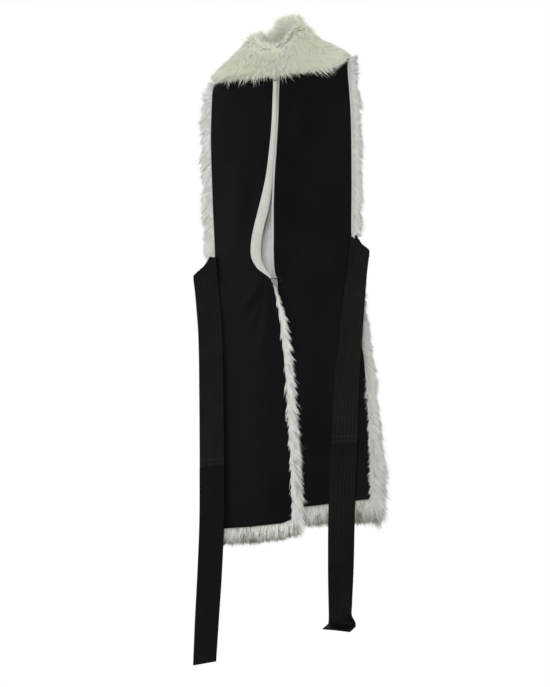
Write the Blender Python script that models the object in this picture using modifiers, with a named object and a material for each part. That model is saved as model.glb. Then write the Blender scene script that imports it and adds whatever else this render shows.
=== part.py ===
"""Belted fur gilet, hung upright with nobody in it.

Black cloth outside, ivory fur inside. The fur stands out past every cut edge, a fur cape collar closes the
neck, the two fronts hook together at the waist, and a leather belt crosses the back and folds down at the sides.
Metres, +Z up, front towards -Y. The origin is the middle of the neck, level with the tops of the shoulder seams.
Left and right are as seen from the front: left is -X.
"""

import math

import bmesh
import bpy
from mathutils import Vector

# Wall thicknesses and the clearances between sewn pieces
SHELL_THICK = 0.0022
PILE_THICK = 0.0080
FACING_THICK = 0.0018
COLLAR_THICK = 0.0130
BELT_THICK = 0.0030
SEAM_GAP = 0.0003
FACING_CLEAR = 0.0009
PILE_CLEAR = 0.0008

# Shoulders and neck
NECK_HALF = 0.050
SHOULDER_HALF = 0.160
SHOULDER_DROP = 0.067
RIDGE_ROUND = 0.020
ROOF_DEPTH = 0.035
SIDE_GAP = 0.020
SHOULDER_SEAM = 0.0016
FRONT_NECK_DROP = 0.064
BACK_NECK_DROP = 0.026

# Fur past the cut edges
# How far the fur stands past each panel's side edge, above and below the belt
SIDE_REACH = {"left": (0.024, 0.008), "right": (0.022, 0.024), "back": (0.014, 0.016)}
HEM_REACH = 0.036
FRONT_REACH = 0.027
PILE_EDGE_INSET = 0.003

# Waist: belt, hook and the overlap of the fronts below the hook
WAIST_Z = -0.507
HOOK_Z = -0.564
LIFT = 0.0068
LIFT_START_Z = -0.485
LIFT_FULL_Z = -0.545
LEFT_LIFT_X = (-0.090, -0.015)
RIGHT_LIFT_X = (0.070, 0.125)
BELT_WIDE = 0.056
FOLD_RUN = 0.044
SEAM_Z = {"left": -0.957, "right": -0.939}
# How much lower each tie's outer corner is cut
END_SLANT = {"left": 0.004, "right": 0.009}
TAB_LONG = 0.033
TAB_ANGLE = math.radians(65)
HOOK_WIRE = 0.0008

# Hems: the left front hangs lower than the right one
HEM = {"left": (-1.098, -1.084), "right": (-1.065, -1.056), "back": (-1.035, -1.029)}
HEM_CORNER = 0.007
HEM_CORNER_WIDE = 0.040

# The body's half widths and how far each side swells out between its edges; the fronts hang a little to the left
FRONT_SHIFT = -0.002
BODY_COLUMNS = ("z", "front_half", "back_half", "front_swell", "back_swell")
BODY_ROWS = (
    (-0.067, 0.1630, 0.160, 0.0220, 0.022),
    (-0.195, 0.1695, 0.156, 0.0280, 0.030),
    (-0.345, 0.1675, 0.153, 0.0340, 0.036),
    (-0.507, 0.1635, 0.150, 0.0450, 0.030),
    (-0.665, 0.1725, 0.160, 0.0445, 0.038),
    (-0.745, 0.1835, 0.166, 0.0440, 0.042),
    (-0.845, 0.1900, 0.172, 0.0430, 0.044),
    (-0.955, 0.1925, 0.178, 0.0420, 0.046),
    (-1.055, 0.1910, 0.182, 0.0410, 0.048),
)

# The fronts' inner edges: they gape above the hook, and the left laps over the right below it
EDGE_COLUMNS = ("z", "left_x", "right_x", "left_facing", "right_facing")
EDGE_ROWS = (
    (-0.115, -0.0060, 0.0095, 0.0085, 0.0045),
    (-0.206, -0.0100, 0.0065, 0.0105, 0.0045),
    (-0.273, -0.0170, 0.0020, 0.0130, 0.0045),
    (-0.329, -0.0255, -0.0020, 0.0160, 0.0050),
    (-0.390, -0.0405, -0.0035, 0.0215, 0.0065),
    (-0.441, -0.0545, -0.0030, 0.0220, 0.0070),
    (-0.475, -0.0605, -0.0025, 0.0220, 0.0075),
    (-0.505, -0.0590, -0.0035, 0.0215, 0.0075),
    (-0.533, -0.0425, -0.0045, 0.0170, 0.0075),
    (-0.548, -0.0255, -0.0030, 0.0110, 0.0065),
    (-0.564, -0.0080, 0.0020, 0.0036, 0.0036),
    (-0.605, 0.0030, 0.0000, 0.0040, 0.0040),
    (-0.685, 0.0140, -0.0060, 0.0040, 0.0040),
    (-0.845, 0.0240, -0.0080, 0.0040, 0.0040),
    (-1.095, 0.0305, -0.0100, 0.0040, 0.0040),
)

# Cape collar: where its lower edge hangs, and how its stand rises at the sides and the back of the neck
COLLAR_EDGE_Z = (-0.112, -0.083)
COLLAR_HALF = 0.172
COLLAR_CLEAR = 0.0021
COLLAR_FRONT_SLIT = math.radians(1.2)
COLLAR_NECK_FLARE = 1.16
COLLAR_NECK_W = (0.58, 0.30)
STAND_FRONT = 0.022
STAND_SIDE = 0.008
STAND_PEAK = 0.078
STAND_MIDDLE = 0.006
STAND_SPREAD = 0.040
# The stand comes down in a step on the left, at this share of its height
STAND_STEP = 0.36
STAND_LEAN = 0.016

# The two ties below the belt's fold, row by row; turn is how far the outer edge swings forward
TIE_COLUMNS = ("z", "x", "y", "turn")
TIE_ROWS = {
    "left": (
        (-0.479, -0.1862, -0.0332, 14),
        (-0.525, -0.1812, -0.0363, 14),
        (-0.575, -0.1745, -0.0408, 11),
        (-0.665, -0.1665, -0.0465, 8),
        (-0.795, -0.1635, -0.0515, 8),
        (-0.945, -0.1635, -0.0535, 8),
        (-1.075, -0.1645, -0.0565, 6),
        (-1.195, -0.1680, -0.0640, 4),
        (-1.285, -0.1710, -0.0725, 0),
        (-1.381, -0.1745, -0.0800, -6),
    ),
    "right": (
        (-0.479, 0.1870, -0.0332, 14),
        (-0.525, 0.1830, -0.0365, 14),
        (-0.575, 0.1780, -0.0422, 14),
        (-0.665, 0.1680, -0.0465, 8),
        (-0.795, 0.1545, -0.0515, -4),
        (-0.935, 0.1470, -0.0560, -12),
        (-1.075, 0.1395, -0.0610, -14),
        (-1.195, 0.1360, -0.0660, -5),
        (-1.285, 0.1345, -0.0725, 9),
        (-1.308, 0.1345, -0.0735, 9),
        (-1.322, 0.1395, -0.0745, -14),
    ),
}

# Grid spacing of the lofts
FRONT_STEPS = (0.0, 0.07, 0.14, 0.20, 0.25, 0.31, 0.42, 0.55, 0.70, 0.85, 1.0)
BACK_STEPS = (-1.0, -0.84, -0.66, -0.46, -0.31, -0.16, 0.0, 0.16, 0.31, 0.46, 0.66, 0.84, 1.0)
ROOF_STEPS = 4
WALL_SHARES = (0.07, 0.14, 0.21, 0.28, 0.34, 0.385, 0.41, 0.43, 0.448, 0.464, 0.49, 0.53)
WALL_SHARES += (0.60, 0.68, 0.76, 0.84, 0.92, 1.0)
COLLAR_AROUND = 48
COLLAR_OUT = 6
TIE_STEPS = 11
BELT_STEPS = 30

COLOURS = {
    "shell": ((0.012, 0.012, 0.015), 0.55),
    "fur": ((0.72, 0.71, 0.60), 0.90),
    "facing": ((0.70, 0.70, 0.60), 0.70),
    "belt": ((0.014, 0.013, 0.012), 0.45),
    "hook": ((0.020, 0.020, 0.020), 0.35),
}


def clamp(value, low=0.0, high=1.0):
    return max(low, min(high, value))


def ease(value, start, end):
    """0 at start, 1 at end, smooth between."""
    t = clamp((value - start) / (end - start))
    return t * t * (3 - 2 * t)


def table_value(columns, rows, name, z):
    """A table's column at height z, on a smooth curve through its rows, which run downwards."""
    k = columns.index(name)
    if z >= rows[0][0]:
        return rows[0][k]
    if z <= rows[-1][0]:
        return rows[-1][k]
    i = next(n for n in range(len(rows) - 1) if rows[n + 1][0] <= z)
    before, start, end, after = (rows[clamp(n, 0, len(rows) - 1)] for n in (i - 1, i, i + 1, i + 2))
    run = end[0] - start[0]
    t = (z - start[0]) / run
    slope_in = (end[k] - before[k]) / (end[0] - before[0]) * run
    slope_out = (after[k] - start[k]) / (after[0] - start[0]) * run
    return (
        (2 * t**3 - 3 * t**2 + 1) * start[k]
        + (t**3 - 2 * t**2 + t) * slope_in
        + (3 * t**2 - 2 * t**3) * end[k]
        + (t**3 - t**2) * slope_out
    )


def body(name, z):
    return table_value(BODY_COLUMNS, BODY_ROWS, name, z)


def edge(name, z):
    return table_value(EDGE_COLUMNS, EDGE_ROWS, name, z)


def ridge(x):
    """Height of the shoulder line above or below the origin at this x, rounded over the middle of the neck."""
    fall = SHOULDER_DROP / (SHOULDER_HALF - NECK_HALF)
    return fall * (math.hypot(NECK_HALF, RIDGE_ROUND) - math.hypot(x, RIDGE_ROUND))


def overlap_lift(piece, x, z):
    """How far a front is pushed forward (left) or back (right) so that they lap below the hook."""
    down = ease(z, LIFT_START_Z, LIFT_FULL_Z)
    if piece == "left":
        return LIFT * down * ease(x, *LEFT_LIFT_X)
    if piece == "right":
        return -LIFT * down * (1 - ease(x, *RIGHT_LIFT_X))
    return 0.0


def wall_depth(piece, x, z):
    """How far a front or the back stands out from the middle plane, below the shoulder."""
    view = "back" if piece == "back" else "front"
    across = clamp(1 - (x / body(view + "_half", z)) ** 2)
    return SIDE_GAP + body(view + "_swell", z) * across + overlap_lift(piece, x, z)


def on_body(piece, x, z, out=0.0, least=0.0):
    """A point of the garment's outer surface, moved outwards by out."""
    drop = clamp((ridge(x) + out - z) / (ROOF_DEPTH + out))
    rounding = math.sqrt(clamp(1 - (1 - drop) ** 2))
    depth = max(least, (wall_depth(piece, x, z) + out) * rounding)
    return Vector((x, depth if piece == "back" else -depth, z))


def neck_drop(piece, x):
    """How far below the shoulder line the neckline is cut at this x."""
    deepest = BACK_NECK_DROP if piece == "back" else FRONT_NECK_DROP
    return deepest * clamp(1 - (x / NECK_HALF) ** 2) ** 0.8


def hem_z(piece, x):
    middle, side = HEM[piece]
    half = body("back_half" if piece == "back" else "front_half", side)
    level = side + (middle - side) * clamp(1 - (x / half) ** 2)
    if piece == "left":
        inner = edge("left_x", middle)
        level += HEM_CORNER * ease(x, inner - HEM_CORNER_WIDE, inner) ** 2
    return level


def side_limits(piece, z):
    """The x of a panel's two edges at height z, from left to right."""
    if piece == "back":
        half = body("back_half", z)
        return -half, half
    half = body("front_half", z)
    if piece == "left":
        return FRONT_SHIFT - half, edge("left_x", z)
    return edge("right_x", z), FRONT_SHIFT + half


def panel_steps(piece):
    if piece == "back":
        return [(s + 1) / 2 for s in BACK_STEPS]
    return [1 - s for s in reversed(FRONT_STEPS)] if piece == "left" else list(FRONT_STEPS)


def column_heights(piece, step):
    """Heights of one column's rows from the top down: over the shoulder or from the neckline, then the wall."""
    low, high = side_limits(piece, 0.0)
    x_top = low + step * (high - low)
    start = neck_drop(piece, x_top)
    roof_end = max(ROOF_DEPTH, start + 0.02)
    turns = [math.pi / 2 * n / ROOF_STEPS for n in range(1, ROOF_STEPS + 1)]
    drops = [start]
    for turn in turns:
        even = turn / (math.pi / 2)
        share = 1 - math.cos(turn) if start < 1e-6 else even
        drops.append(start + (roof_end - start) * share)
    roof = [ridge(x_top) - drop for drop in drops]
    low, high = side_limits(piece, HEM[piece][1])
    lowest = hem_z(piece, low + step * (high - low))
    wall = [roof[-1] + (lowest - roof[-1]) * share for share in WALL_SHARES]
    return roof, wall


def shell_column(piece, step):
    """The points of one column of a panel, from the hem up to the shoulder seam or the neckline."""
    roof, wall = column_heights(piece, step)
    points = []
    for z in roof + wall:
        low, high = side_limits(piece, z)
        x = low + step * (high - low)
        points.append(on_body(piece, x, z, least=SHOULDER_SEAM / 2))
    return points[::-1]


def pile_reach(piece, z):
    """How far the fur stands past the side edge and past the left front's inner edge at height z."""
    belt_press = ease(abs(z - WAIST_Z), 0.8 * BELT_WIDE, 1.8 * BELT_WIDE)
    above, below = SIDE_REACH[piece]
    side = (above + (below - above) * ease(z, WAIST_Z, WAIST_Z - 0.10)) * belt_press
    if piece != "left":
        side += 0.008 * ease(z, -0.845, -1.065)
    front = FRONT_REACH * ease(z, HOOK_Z - 0.010, HOOK_Z - 0.080) if piece == "left" else 0.0
    return max(side, 0.001), front


def pile_x(piece, z, step, past):
    """The x of a fur column: step runs between the panel's edges, past is 1 for the column outside them."""
    side, front = pile_reach(piece, z)
    low, high = side_limits(piece, z)
    if piece != "right":
        low_past = side * past
    else:
        low += 2 * PILE_EDGE_INSET
        low_past = PILE_EDGE_INSET * past
    if piece != "left":
        high_past = side * past
    else:
        high -= 2 * PILE_EDGE_INSET
        high_past = (PILE_EDGE_INSET + (front + PILE_EDGE_INSET) * ease(front, 0.0, 0.004)) * past
    return low + step * (high - low) + (high_past if step > 0.5 else -low_past)


def pile_column(piece, step, past):
    """One column of a fur lining, on the panel's own rows, from below the hem up to just under the shoulder."""
    inset = SHELL_THICK + PILE_CLEAR
    roof, wall = column_heights(piece, step)
    heights = [roof[-1]] + wall + [wall[-1] - HEM_REACH]
    points = [on_body(piece, pile_x(piece, z, step, past), z, out=-inset) for z in heights]
    return points[::-1]


def material(name):
    found = bpy.data.materials.get(name)
    if found:
        return found
    colour, roughness = COLOURS[name]
    made = bpy.data.materials.new(name)
    made.use_nodes = True
    shader = made.node_tree.nodes["Principled BSDF"]
    shader.inputs["Base Color"].default_value = (*colour, 1)
    shader.inputs["Roughness"].default_value = roughness
    shader.inputs["Metallic"].default_value = 0.0
    return made


def add_object(name, data, finish, collection):
    data.materials.append(material(finish))
    made = bpy.data.objects.new(name, data)
    collection.objects.link(made)
    return made


def sheet_object(name, columns, thick, grows, finish, collection):
    """An open surface through the columns of points, given a wall by Solidify; grows is -1 inwards, 1 outwards."""
    across, along = len(columns), len(columns[0])
    shape = bmesh.new()
    bmesh.ops.create_grid(shape, x_segments=across - 1, y_segments=along - 1, size=0.5)
    shape.verts.ensure_lookup_table()
    for j in range(along):
        for i in range(across):
            shape.verts[j * across + i].co = columns[i][j]
    mesh = bpy.data.meshes.new(name)
    shape.to_mesh(mesh)
    shape.free()
    mesh.shade_smooth()
    made = add_object(name, mesh, finish, collection)
    wall = made.modifiers.new("wall", "SOLIDIFY")
    wall.thickness = thick
    wall.offset = grows
    wall.use_even_offset = False
    return made


def add_panels(collection):
    """The black cloth: two fronts and a back, and the fur lining behind each."""
    for piece, name in (("left", "front_left"), ("right", "front_right"), ("back", "back")):
        steps = panel_steps(piece)
        if piece == "back":
            steps = steps[::-1]
        shell = [shell_column(piece, step) for step in steps]
        sheet_object(name + "_shell", shell, SHELL_THICK, -1, "shell", collection)
        places = [(steps[0], 1)] + [(step, 0) for step in steps] + [(steps[-1], 1)]
        pile = [pile_column(piece, step, past) for step, past in places]
        sheet_object(name + "_fur", pile, PILE_THICK, -1, "fur", collection)


def facing_column(piece, share, heights):
    """One column of the cream facing that runs down a front's gaping edge; it rolls back at its free edge."""
    points = []
    for z in heights:
        start = edge(piece + "_x", z)
        wide = edge(piece + "_facing", z) - FACING_CLEAR
        reach = FACING_CLEAR + wide * share
        x = start + reach if piece == "left" else start - reach
        roll = 0.25 * wide * share**2
        points.append(on_body(piece, x, z) + Vector((0, 0.0004 + roll, 0)))
    return points


def add_facings(collection):
    shares = (0.0, 0.35, 0.7, 1.0)
    for piece in ("left", "right"):
        roof, wall = column_heights(piece, 1.0 if piece == "left" else 0.0)
        heights = [z for z in reversed(roof[-1:] + wall) if z > HOOK_Z + 0.002]
        order = shares if piece == "left" else shares[::-1]
        columns = [facing_column(piece, share, heights) for share in order]
        sheet_object(f"facing_{piece}", columns, FACING_THICK, -1, "facing", collection)


def add_armhole_bindings(collection):
    """A narrow cream tape along each armhole edge, between the cloth and the fur."""
    steps = 8
    wide, drawn_back = 0.0040, 0.0004
    top, bottom = -0.105, WAIST_Z + 0.5 * BELT_WIDE + 0.008
    heights = [bottom + (top - bottom) * n / steps for n in range(steps + 1)]
    for side, sign in (("left", -1), ("right", 1)):
        for view in ("front", "back"):
            piece = "back" if view == "back" else side
            shift = 0.0 if view == "back" else FRONT_SHIFT
            columns = []
            for share in (0.0, 0.5, 1.0):
                column = []
                for z in heights:
                    x = shift + sign * (body(view + "_half", z) + SEAM_GAP + wide * share)
                    column.append(on_body(piece, x, z, out=-drawn_back))
                columns.append(column)
            if (sign < 0) == (view == "front"):
                columns.reverse()
            name = f"armhole_tape_{view}_{side}"
            sheet_object(name, columns, FACING_THICK * 0.7, -1, "facing", collection)


def collar_point(x, w, out):
    """A point over the shoulders, out from the cloth: w runs from -1 at the front's lower edge to 1 at the back's."""
    inner = clamp(x, -SHOULDER_HALF, SHOULDER_HALF)
    edge_z = COLLAR_EDGE_Z[1] + (COLLAR_EDGE_Z[0] - COLLAR_EDGE_Z[1]) * clamp(1 - (x / COLLAR_HALF) ** 2) ** 0.5
    top = ridge(inner) + out
    point = on_body("back" if w > 0 else "collar", inner, top - abs(w) * (top - edge_z), out=out)
    point.x = x
    return point


def collar_section(angle):
    """The collar cut from its outer edge to the neck: in along its underside, up the stand and back over the top."""
    dx, dw = math.sin(angle), -math.cos(angle)
    square = (dx**6 + dw**6) ** (1 / 6)
    outer = (COLLAR_HALF * dx / square, dw / square)
    deep = COLLAR_NECK_W[0] if dw < 0 else COLLAR_NECK_W[1]
    layers = []
    for out, spread in ((COLLAR_CLEAR, 1.0), (COLLAR_CLEAR + COLLAR_THICK, COLLAR_NECK_FLARE)):
        neck = (NECK_HALF * spread * dx, deep * spread * dw)
        layer = []
        for n in range(COLLAR_OUT + 1):
            t = n / COLLAR_OUT
            x, w = (outer[k] + (neck[k] - outer[k]) * t for k in (0, 1))
            layer.append(collar_point(x, w, out))
        layers.append(layer)
    under, over = layers
    beside = ease(dw, -0.8, 0.1)
    low_rise = STAND_FRONT + (STAND_SIDE - STAND_FRONT) * beside
    lip = Vector((0, 0, max(over[-1].z - under[-1].z, 0.6 * COLLAR_THICK)))
    for n, point in enumerate(over):
        point.z += 0.75 * low_rise * ease(n / COLLAR_OUT, 0.5, 1.0)
    peak = ease(dw, -0.25, 0.25) * math.exp(-(((under[-1].x - STAND_MIDDLE) / STAND_SPREAD) ** 6))
    behind = max(peak, STAND_STEP * ease(dw, 0.0, 0.5) * ease(-dx, 0.0, 0.6))
    rise = Vector((0, 0, low_rise + (STAND_PEAK - STAND_SIDE) * behind))
    inward = Vector((-dx, math.cos(angle), 0)) * STAND_LEAN * behind
    inner_top = under[-1] + lip + rise + inward
    outer_top = inner_top + (over[-1] - under[-1]) * Vector((0.7, 0.7, 0)) - Vector((0, 0, 0.10 * rise.z))
    return under + [inner_top, outer_top] + over[::-1]


def add_collar(collection):
    """The cape collar is a loft of closed sections round the neck, open in a slit at the middle of the front."""
    start, end = COLLAR_FRONT_SLIT, 2 * math.pi - COLLAR_FRONT_SLIT
    even = [start + (end - start) * n / COLLAR_AROUND for n in range(COLLAR_AROUND + 1)]
    angles = [angle + 0.3 * math.sin(2 * angle) for angle in even]
    shape = bmesh.new()
    rings = [[shape.verts.new(point) for point in collar_section(angle)] for angle in angles]
    for one, two in zip(rings, rings[1:]):
        for k in range(len(one)):
            shape.faces.new((one[k - 1], one[k], two[k], two[k - 1]))
    shape.faces.new(rings[0])
    shape.faces.new(rings[-1][::-1])
    bmesh.ops.recalc_face_normals(shape, faces=shape.faces)
    mesh = bpy.data.meshes.new("collar_fur")
    shape.to_mesh(mesh)
    shape.free()
    mesh.shade_smooth()
    add_object("collar_fur", mesh, "fur", collection)


def belt_path():
    """Plan of the belt's inner face, from the middle of the back round to the right-hand fold."""
    half = body("back_half", WAIST_Z)
    lie = SEAM_GAP + 0.0008
    heights = [WAIST_Z + BELT_WIDE * share for share in (-0.8, -0.4, 0.0, 0.4, 0.8)]
    points = []
    for n in range(9):
        x = half * n / 8
        points.append(Vector((x, max(wall_depth("back", x, z) for z in heights) + lie)))
    points += [Vector(p) for p in ((0.1600, 0.0200), (0.1670, 0.0080), (0.1680, -0.0080), (0.1690, -0.0190))]
    points += [Vector(p) for p in ((0.1740, -0.0263), (0.1860, -0.0311), (0.2400, -0.0509))]
    return points


def along_path(points, distance):
    """The point at this distance along a path of straight runs."""
    for a, b in zip(points, points[1:]):
        run = (b - a).length
        if distance <= run:
            return a + (b - a) * (distance / run)
        distance -= run
    return points[-1]


def add_belt_back(collection):
    """The strap across the back: its ends come round the sides and stop at the slanting fold."""
    path = belt_path()
    columns = []
    to_fold = sum((b - a).length for a, b in zip(path, path[1:-2]))
    for i in range(BELT_STEPS + 1):
        share = 1 - 2 * i / BELT_STEPS
        column = []
        for k in range(3):
            rise = k / 2
            reach = to_fold + FOLD_RUN * (1 - rise)
            at = along_path(path, abs(share) * reach)
            column.append(Vector((math.copysign(at.x, share), at.y, WAIST_Z + BELT_WIDE * (rise - 0.5))))
        columns.append(column)
    sheet_object("belt_back", columns, BELT_THICK, 1, "belt", collection)


def tie_point(side, across, z):
    """A point of a tie's front face; across runs from 0 at its inner edge to 1 at its outer edge."""
    sign = -1 if side == "left" else 1
    turn = math.radians(table_value(TIE_COLUMNS, TIE_ROWS[side], "turn", z))
    out = BELT_WIDE * (across - 0.5)
    x = table_value(TIE_COLUMNS, TIE_ROWS[side], "x", z) + sign * out * math.cos(turn)
    y = table_value(TIE_COLUMNS, TIE_ROWS[side], "y", z) - out * math.sin(turn)
    return Vector((x, y, z))


def add_ties(collection):
    """Each tie is two straps end to end: the upper one starts at the belt's slanting fold."""
    shares = (0.0, 0.5, 1.0)
    for side in ("left", "right"):
        order = shares[::-1] if side == "left" else shares
        seam = SEAM_Z[side]
        upper, lower = [], []
        for across in order:
            top = WAIST_Z + BELT_WIDE / 2 - FOLD_RUN * across
            stretch = [seam + SEAM_GAP / 2 + (top - seam) * n / TIE_STEPS for n in range(TIE_STEPS + 1)]
            upper.append([tie_point(side, across, z) for z in stretch])
            end = TIE_ROWS[side][-1][0] - END_SLANT[side] * (across - 0.5)
            stretch = [end + (seam - SEAM_GAP / 2 - end) * n / TIE_STEPS for n in range(TIE_STEPS + 1)]
            column = [tie_point(side, across, z) for z in stretch]
            if side == "right":
                tip = Vector((0, -math.sin(TAB_ANGLE), -math.cos(TAB_ANGLE))) * TAB_LONG
                column = [column[0] + tip, column[0] + tip * 0.4] + column
            lower.append(column)
        sheet_object(f"tie_{side}_upper", upper, BELT_THICK, -1, "belt", collection)
        sheet_object(f"tie_{side}_lower", lower, BELT_THICK, -1, "belt", collection)


def wire_object(name, points, collection):
    curve = bpy.data.curves.new(name, "CURVE")
    curve.dimensions = "3D"
    curve.bevel_depth = HOOK_WIRE
    curve.bevel_resolution = 2
    curve.use_fill_caps = True
    spline = curve.splines.new("POLY")
    spline.points.add(len(points) - 1)
    for point, place in zip(spline.points, points):
        point.co = (*place, 1)
    return add_object(name, curve, "hook", collection)


def add_hook_and_eye(collection):
    """A fur hook on the left front's edge, caught in an eye on the right front's edge."""
    left = on_body("left", edge("left_x", HOOK_Z) - 0.006, HOOK_Z)
    right = on_body("right", edge("right_x", HOOK_Z) + 0.005, HOOK_Z)
    proud = HOOK_WIRE + SEAM_GAP
    bar = [left + Vector((0, -proud, 0)), Vector((0.0045, left.y - proud, HOOK_Z))]
    crook = [Vector((0.0060, left.y + 0.0010, HOOK_Z)), Vector((0.0045, left.y + 0.0034, HOOK_Z))]
    crook.append(Vector((0.0010, left.y + 0.0038, HOOK_Z)))
    wire_object("hook", bar + crook, collection)
    face = right.y - proud
    loop = []
    for n in range(9):
        turn = math.radians(-150 + 300 * n / 8)
        loop.append(Vector((right.x + 0.0005 - 0.0055 * math.cos(turn), face, HOOK_Z + 0.0042 * math.sin(turn))))
    wire_object("eye", loop, collection)


def main():
    for old in list(bpy.data.objects):
        bpy.data.objects.remove(old)
    gilet = bpy.data.collections.new("belted_fur_gilet")
    bpy.context.scene.collection.children.link(gilet)
    add_panels(gilet)
    add_facings(gilet)
    add_armhole_bindings(gilet)
    add_collar(gilet)
    add_belt_back(gilet)
    add_ties(gilet)
    add_hook_and_eye(gilet)


main()
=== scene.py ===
# %% [markdown]
# # A belted fur gilet
# The garment is black cloth outside and ivory fur inside. The imported solids are plain stand-ins for
# collision, so every soft piece is modelled again here on the same form: thin cloth, pelts with real hair
# strands, cream facings and a channel-stitched leather belt. The frame is loaded first, because it fixes
# where everything goes.

import math

import bpy
import numpy as np
from mathutils import Matrix, Vector
from mathutils.kdtree import KDTree


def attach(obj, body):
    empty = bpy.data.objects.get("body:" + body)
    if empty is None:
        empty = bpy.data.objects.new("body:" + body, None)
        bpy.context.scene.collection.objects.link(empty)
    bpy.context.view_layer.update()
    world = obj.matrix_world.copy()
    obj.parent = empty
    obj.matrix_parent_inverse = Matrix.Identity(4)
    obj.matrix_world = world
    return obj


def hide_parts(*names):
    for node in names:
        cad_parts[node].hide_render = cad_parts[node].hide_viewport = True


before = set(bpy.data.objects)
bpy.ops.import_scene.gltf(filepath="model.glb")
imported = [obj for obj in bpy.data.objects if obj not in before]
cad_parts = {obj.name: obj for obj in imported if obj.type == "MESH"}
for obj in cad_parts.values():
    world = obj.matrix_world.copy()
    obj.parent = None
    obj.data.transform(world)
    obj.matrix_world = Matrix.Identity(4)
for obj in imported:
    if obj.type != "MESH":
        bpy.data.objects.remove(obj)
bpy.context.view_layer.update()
scene = bpy.context.scene

# %% [markdown]
# ## Camera, floor and light
# The gilet was photographed from the front, a little from its right and from below, with a long lens, so the
# camera stands far away. The white world is both the backdrop and the soft studio light: it reaches into the
# fur from all sides. A broad lamp behind the camera shines straight into the openings, as a frontal studio
# light does, and a weak one from the side adds shape. The floor lies well below the hem.

# %% Place the camera
IMAGE_WIDE, IMAGE_TALL = 550, 687
VIEW_TARGET = Vector((0.0, 0.0, -0.665))
TARGET_PIXEL = (288.9, 331.7)
METRES_PER_PIXEL = 0.002168
VIEW_DISTANCE = 5.5
VIEW_AZIMUTH, VIEW_ELEVATION, VIEW_ROLL = math.radians(24.3), math.radians(-14.4), math.radians(-1.12)
SENSOR = 36.0

toward_camera = Vector((
    math.sin(VIEW_AZIMUTH) * math.cos(VIEW_ELEVATION),
    -math.cos(VIEW_AZIMUTH) * math.cos(VIEW_ELEVATION),
    math.sin(VIEW_ELEVATION),
))
image_right = Vector((math.cos(VIEW_AZIMUTH), math.sin(VIEW_AZIMUTH), 0.0))
image_up = toward_camera.cross(image_right)
lens_data = bpy.data.cameras.new("camera")
lens_data.sensor_fit = "VERTICAL"
lens_data.sensor_height = SENSOR
lens_data.lens = SENSOR * VIEW_DISTANCE / (IMAGE_TALL * METRES_PER_PIXEL)
lens_data.clip_end = 60.0
camera = bpy.data.objects.new("camera", lens_data)
scene.collection.objects.link(camera)
aim = VIEW_TARGET + image_right * (IMAGE_WIDE / 2 - TARGET_PIXEL[0]) * METRES_PER_PIXEL
aim = aim + image_up * (TARGET_PIXEL[1] - IMAGE_TALL / 2) * METRES_PER_PIXEL
turn = Matrix((image_right, image_up, toward_camera)).transposed().to_4x4()
stand = Matrix.Translation(aim + toward_camera * VIEW_DISTANCE)
camera.matrix_world = stand @ turn @ Matrix.Rotation(VIEW_ROLL, 4, "Z")
scene.camera = camera
scene.view_settings.view_transform = "Standard"
print("camera:", [round(v, 3) for v in camera.location], "lens", round(lens_data.lens, 1))

# %% White world, two lamps and the floor
FLOOR_Z = -2.12
FLOOR_HALF = 9.0
KEY_AWAY, KEY_UP, KEY_LEFT = 6.4, 0.7, 0.4
SIDE_PLACE = (-3.0, -2.2, 0.6)

world = bpy.data.worlds.new("white_studio")
scene.world = world
world.use_nodes = True
backdrop = world.node_tree.nodes["Background"]
backdrop.inputs["Color"].default_value = (1.0, 1.0, 1.0, 1.0)
backdrop.inputs["Strength"].default_value = 1.0


def add_lamp(name, place, size, watts):
    """A square soft box that faces the middle of the garment."""
    lamp = bpy.data.lights.new(name, "AREA")
    lamp.size = size
    lamp.energy = watts
    held = bpy.data.objects.new(name, lamp)
    held.location = place
    held.rotation_euler = (VIEW_TARGET - Vector(place)).to_track_quat("-Z", "Y").to_euler()
    scene.collection.objects.link(held)


key_place = VIEW_TARGET + toward_camera * KEY_AWAY + image_up * KEY_UP - image_right * KEY_LEFT
add_lamp("key_lamp", key_place, size=1.2, watts=190.0)
add_lamp("side_lamp", SIDE_PLACE, size=1.6, watts=12.0)

floor_mesh = bpy.data.meshes.new("floor")
corners = ((-1, -1), (1, -1), (1, 1), (-1, 1))
floor_points = [(x * FLOOR_HALF, y * FLOOR_HALF, FLOOR_Z) for x, y in corners]
floor_mesh.from_pydata(floor_points, [], [(0, 1, 2, 3)])
floor = bpy.data.objects.new("floor", floor_mesh)
scene.collection.objects.link(floor)
floor_paint = bpy.data.materials.new("pale_floor")
floor_paint.use_nodes = True
floor_shader = floor_paint.node_tree.nodes["Principled BSDF"]
floor_shader.inputs["Base Color"].default_value = (0.86, 0.86, 0.86, 1.0)
floor_shader.inputs["Roughness"].default_value = 0.8
floor_mesh.materials.append(floor_paint)
print("floor at", FLOOR_Z)

# %% [markdown]
# ## The form of the garment
# A few tables give the cut at each height: half widths, how far the front and back swell out, and where the
# fronts' inner edges run. Everything that lies on the body is worked out from them, on whole arrays of points
# at once, so thousands of points take no time.

# %% Sizes of the cut, in metres
SHELL_THICK = 0.0022
PILE_THICK = 0.0080
BELT_THICK = 0.0030
PILE_CLEAR = 0.0008
NECK_HALF = 0.050
SHOULDER_HALF = 0.160
SHOULDER_DROP = 0.067
RIDGE_ROUND = 0.020
ROOF_DEPTH = 0.035
SIDE_GAP = 0.020
SHOULDER_SEAM = 0.0016
FRONT_NECK_DROP = 0.064
BACK_NECK_DROP = 0.026
WAIST_Z = -0.507
HOOK_Z = -0.564
LIFT = 0.0068
LIFT_Z = (-0.485, -0.545)
LEFT_LIFT_X = (-0.090, -0.015)
RIGHT_LIFT_X = (0.070, 0.125)
HEM = {"left": (-1.098, -1.084), "right": (-1.065, -1.056), "back": (-1.035, -1.029)}
HEM_CORNER = 0.007
HEM_CORNER_WIDE = 0.040
FRONT_SHIFT = -0.002

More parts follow.
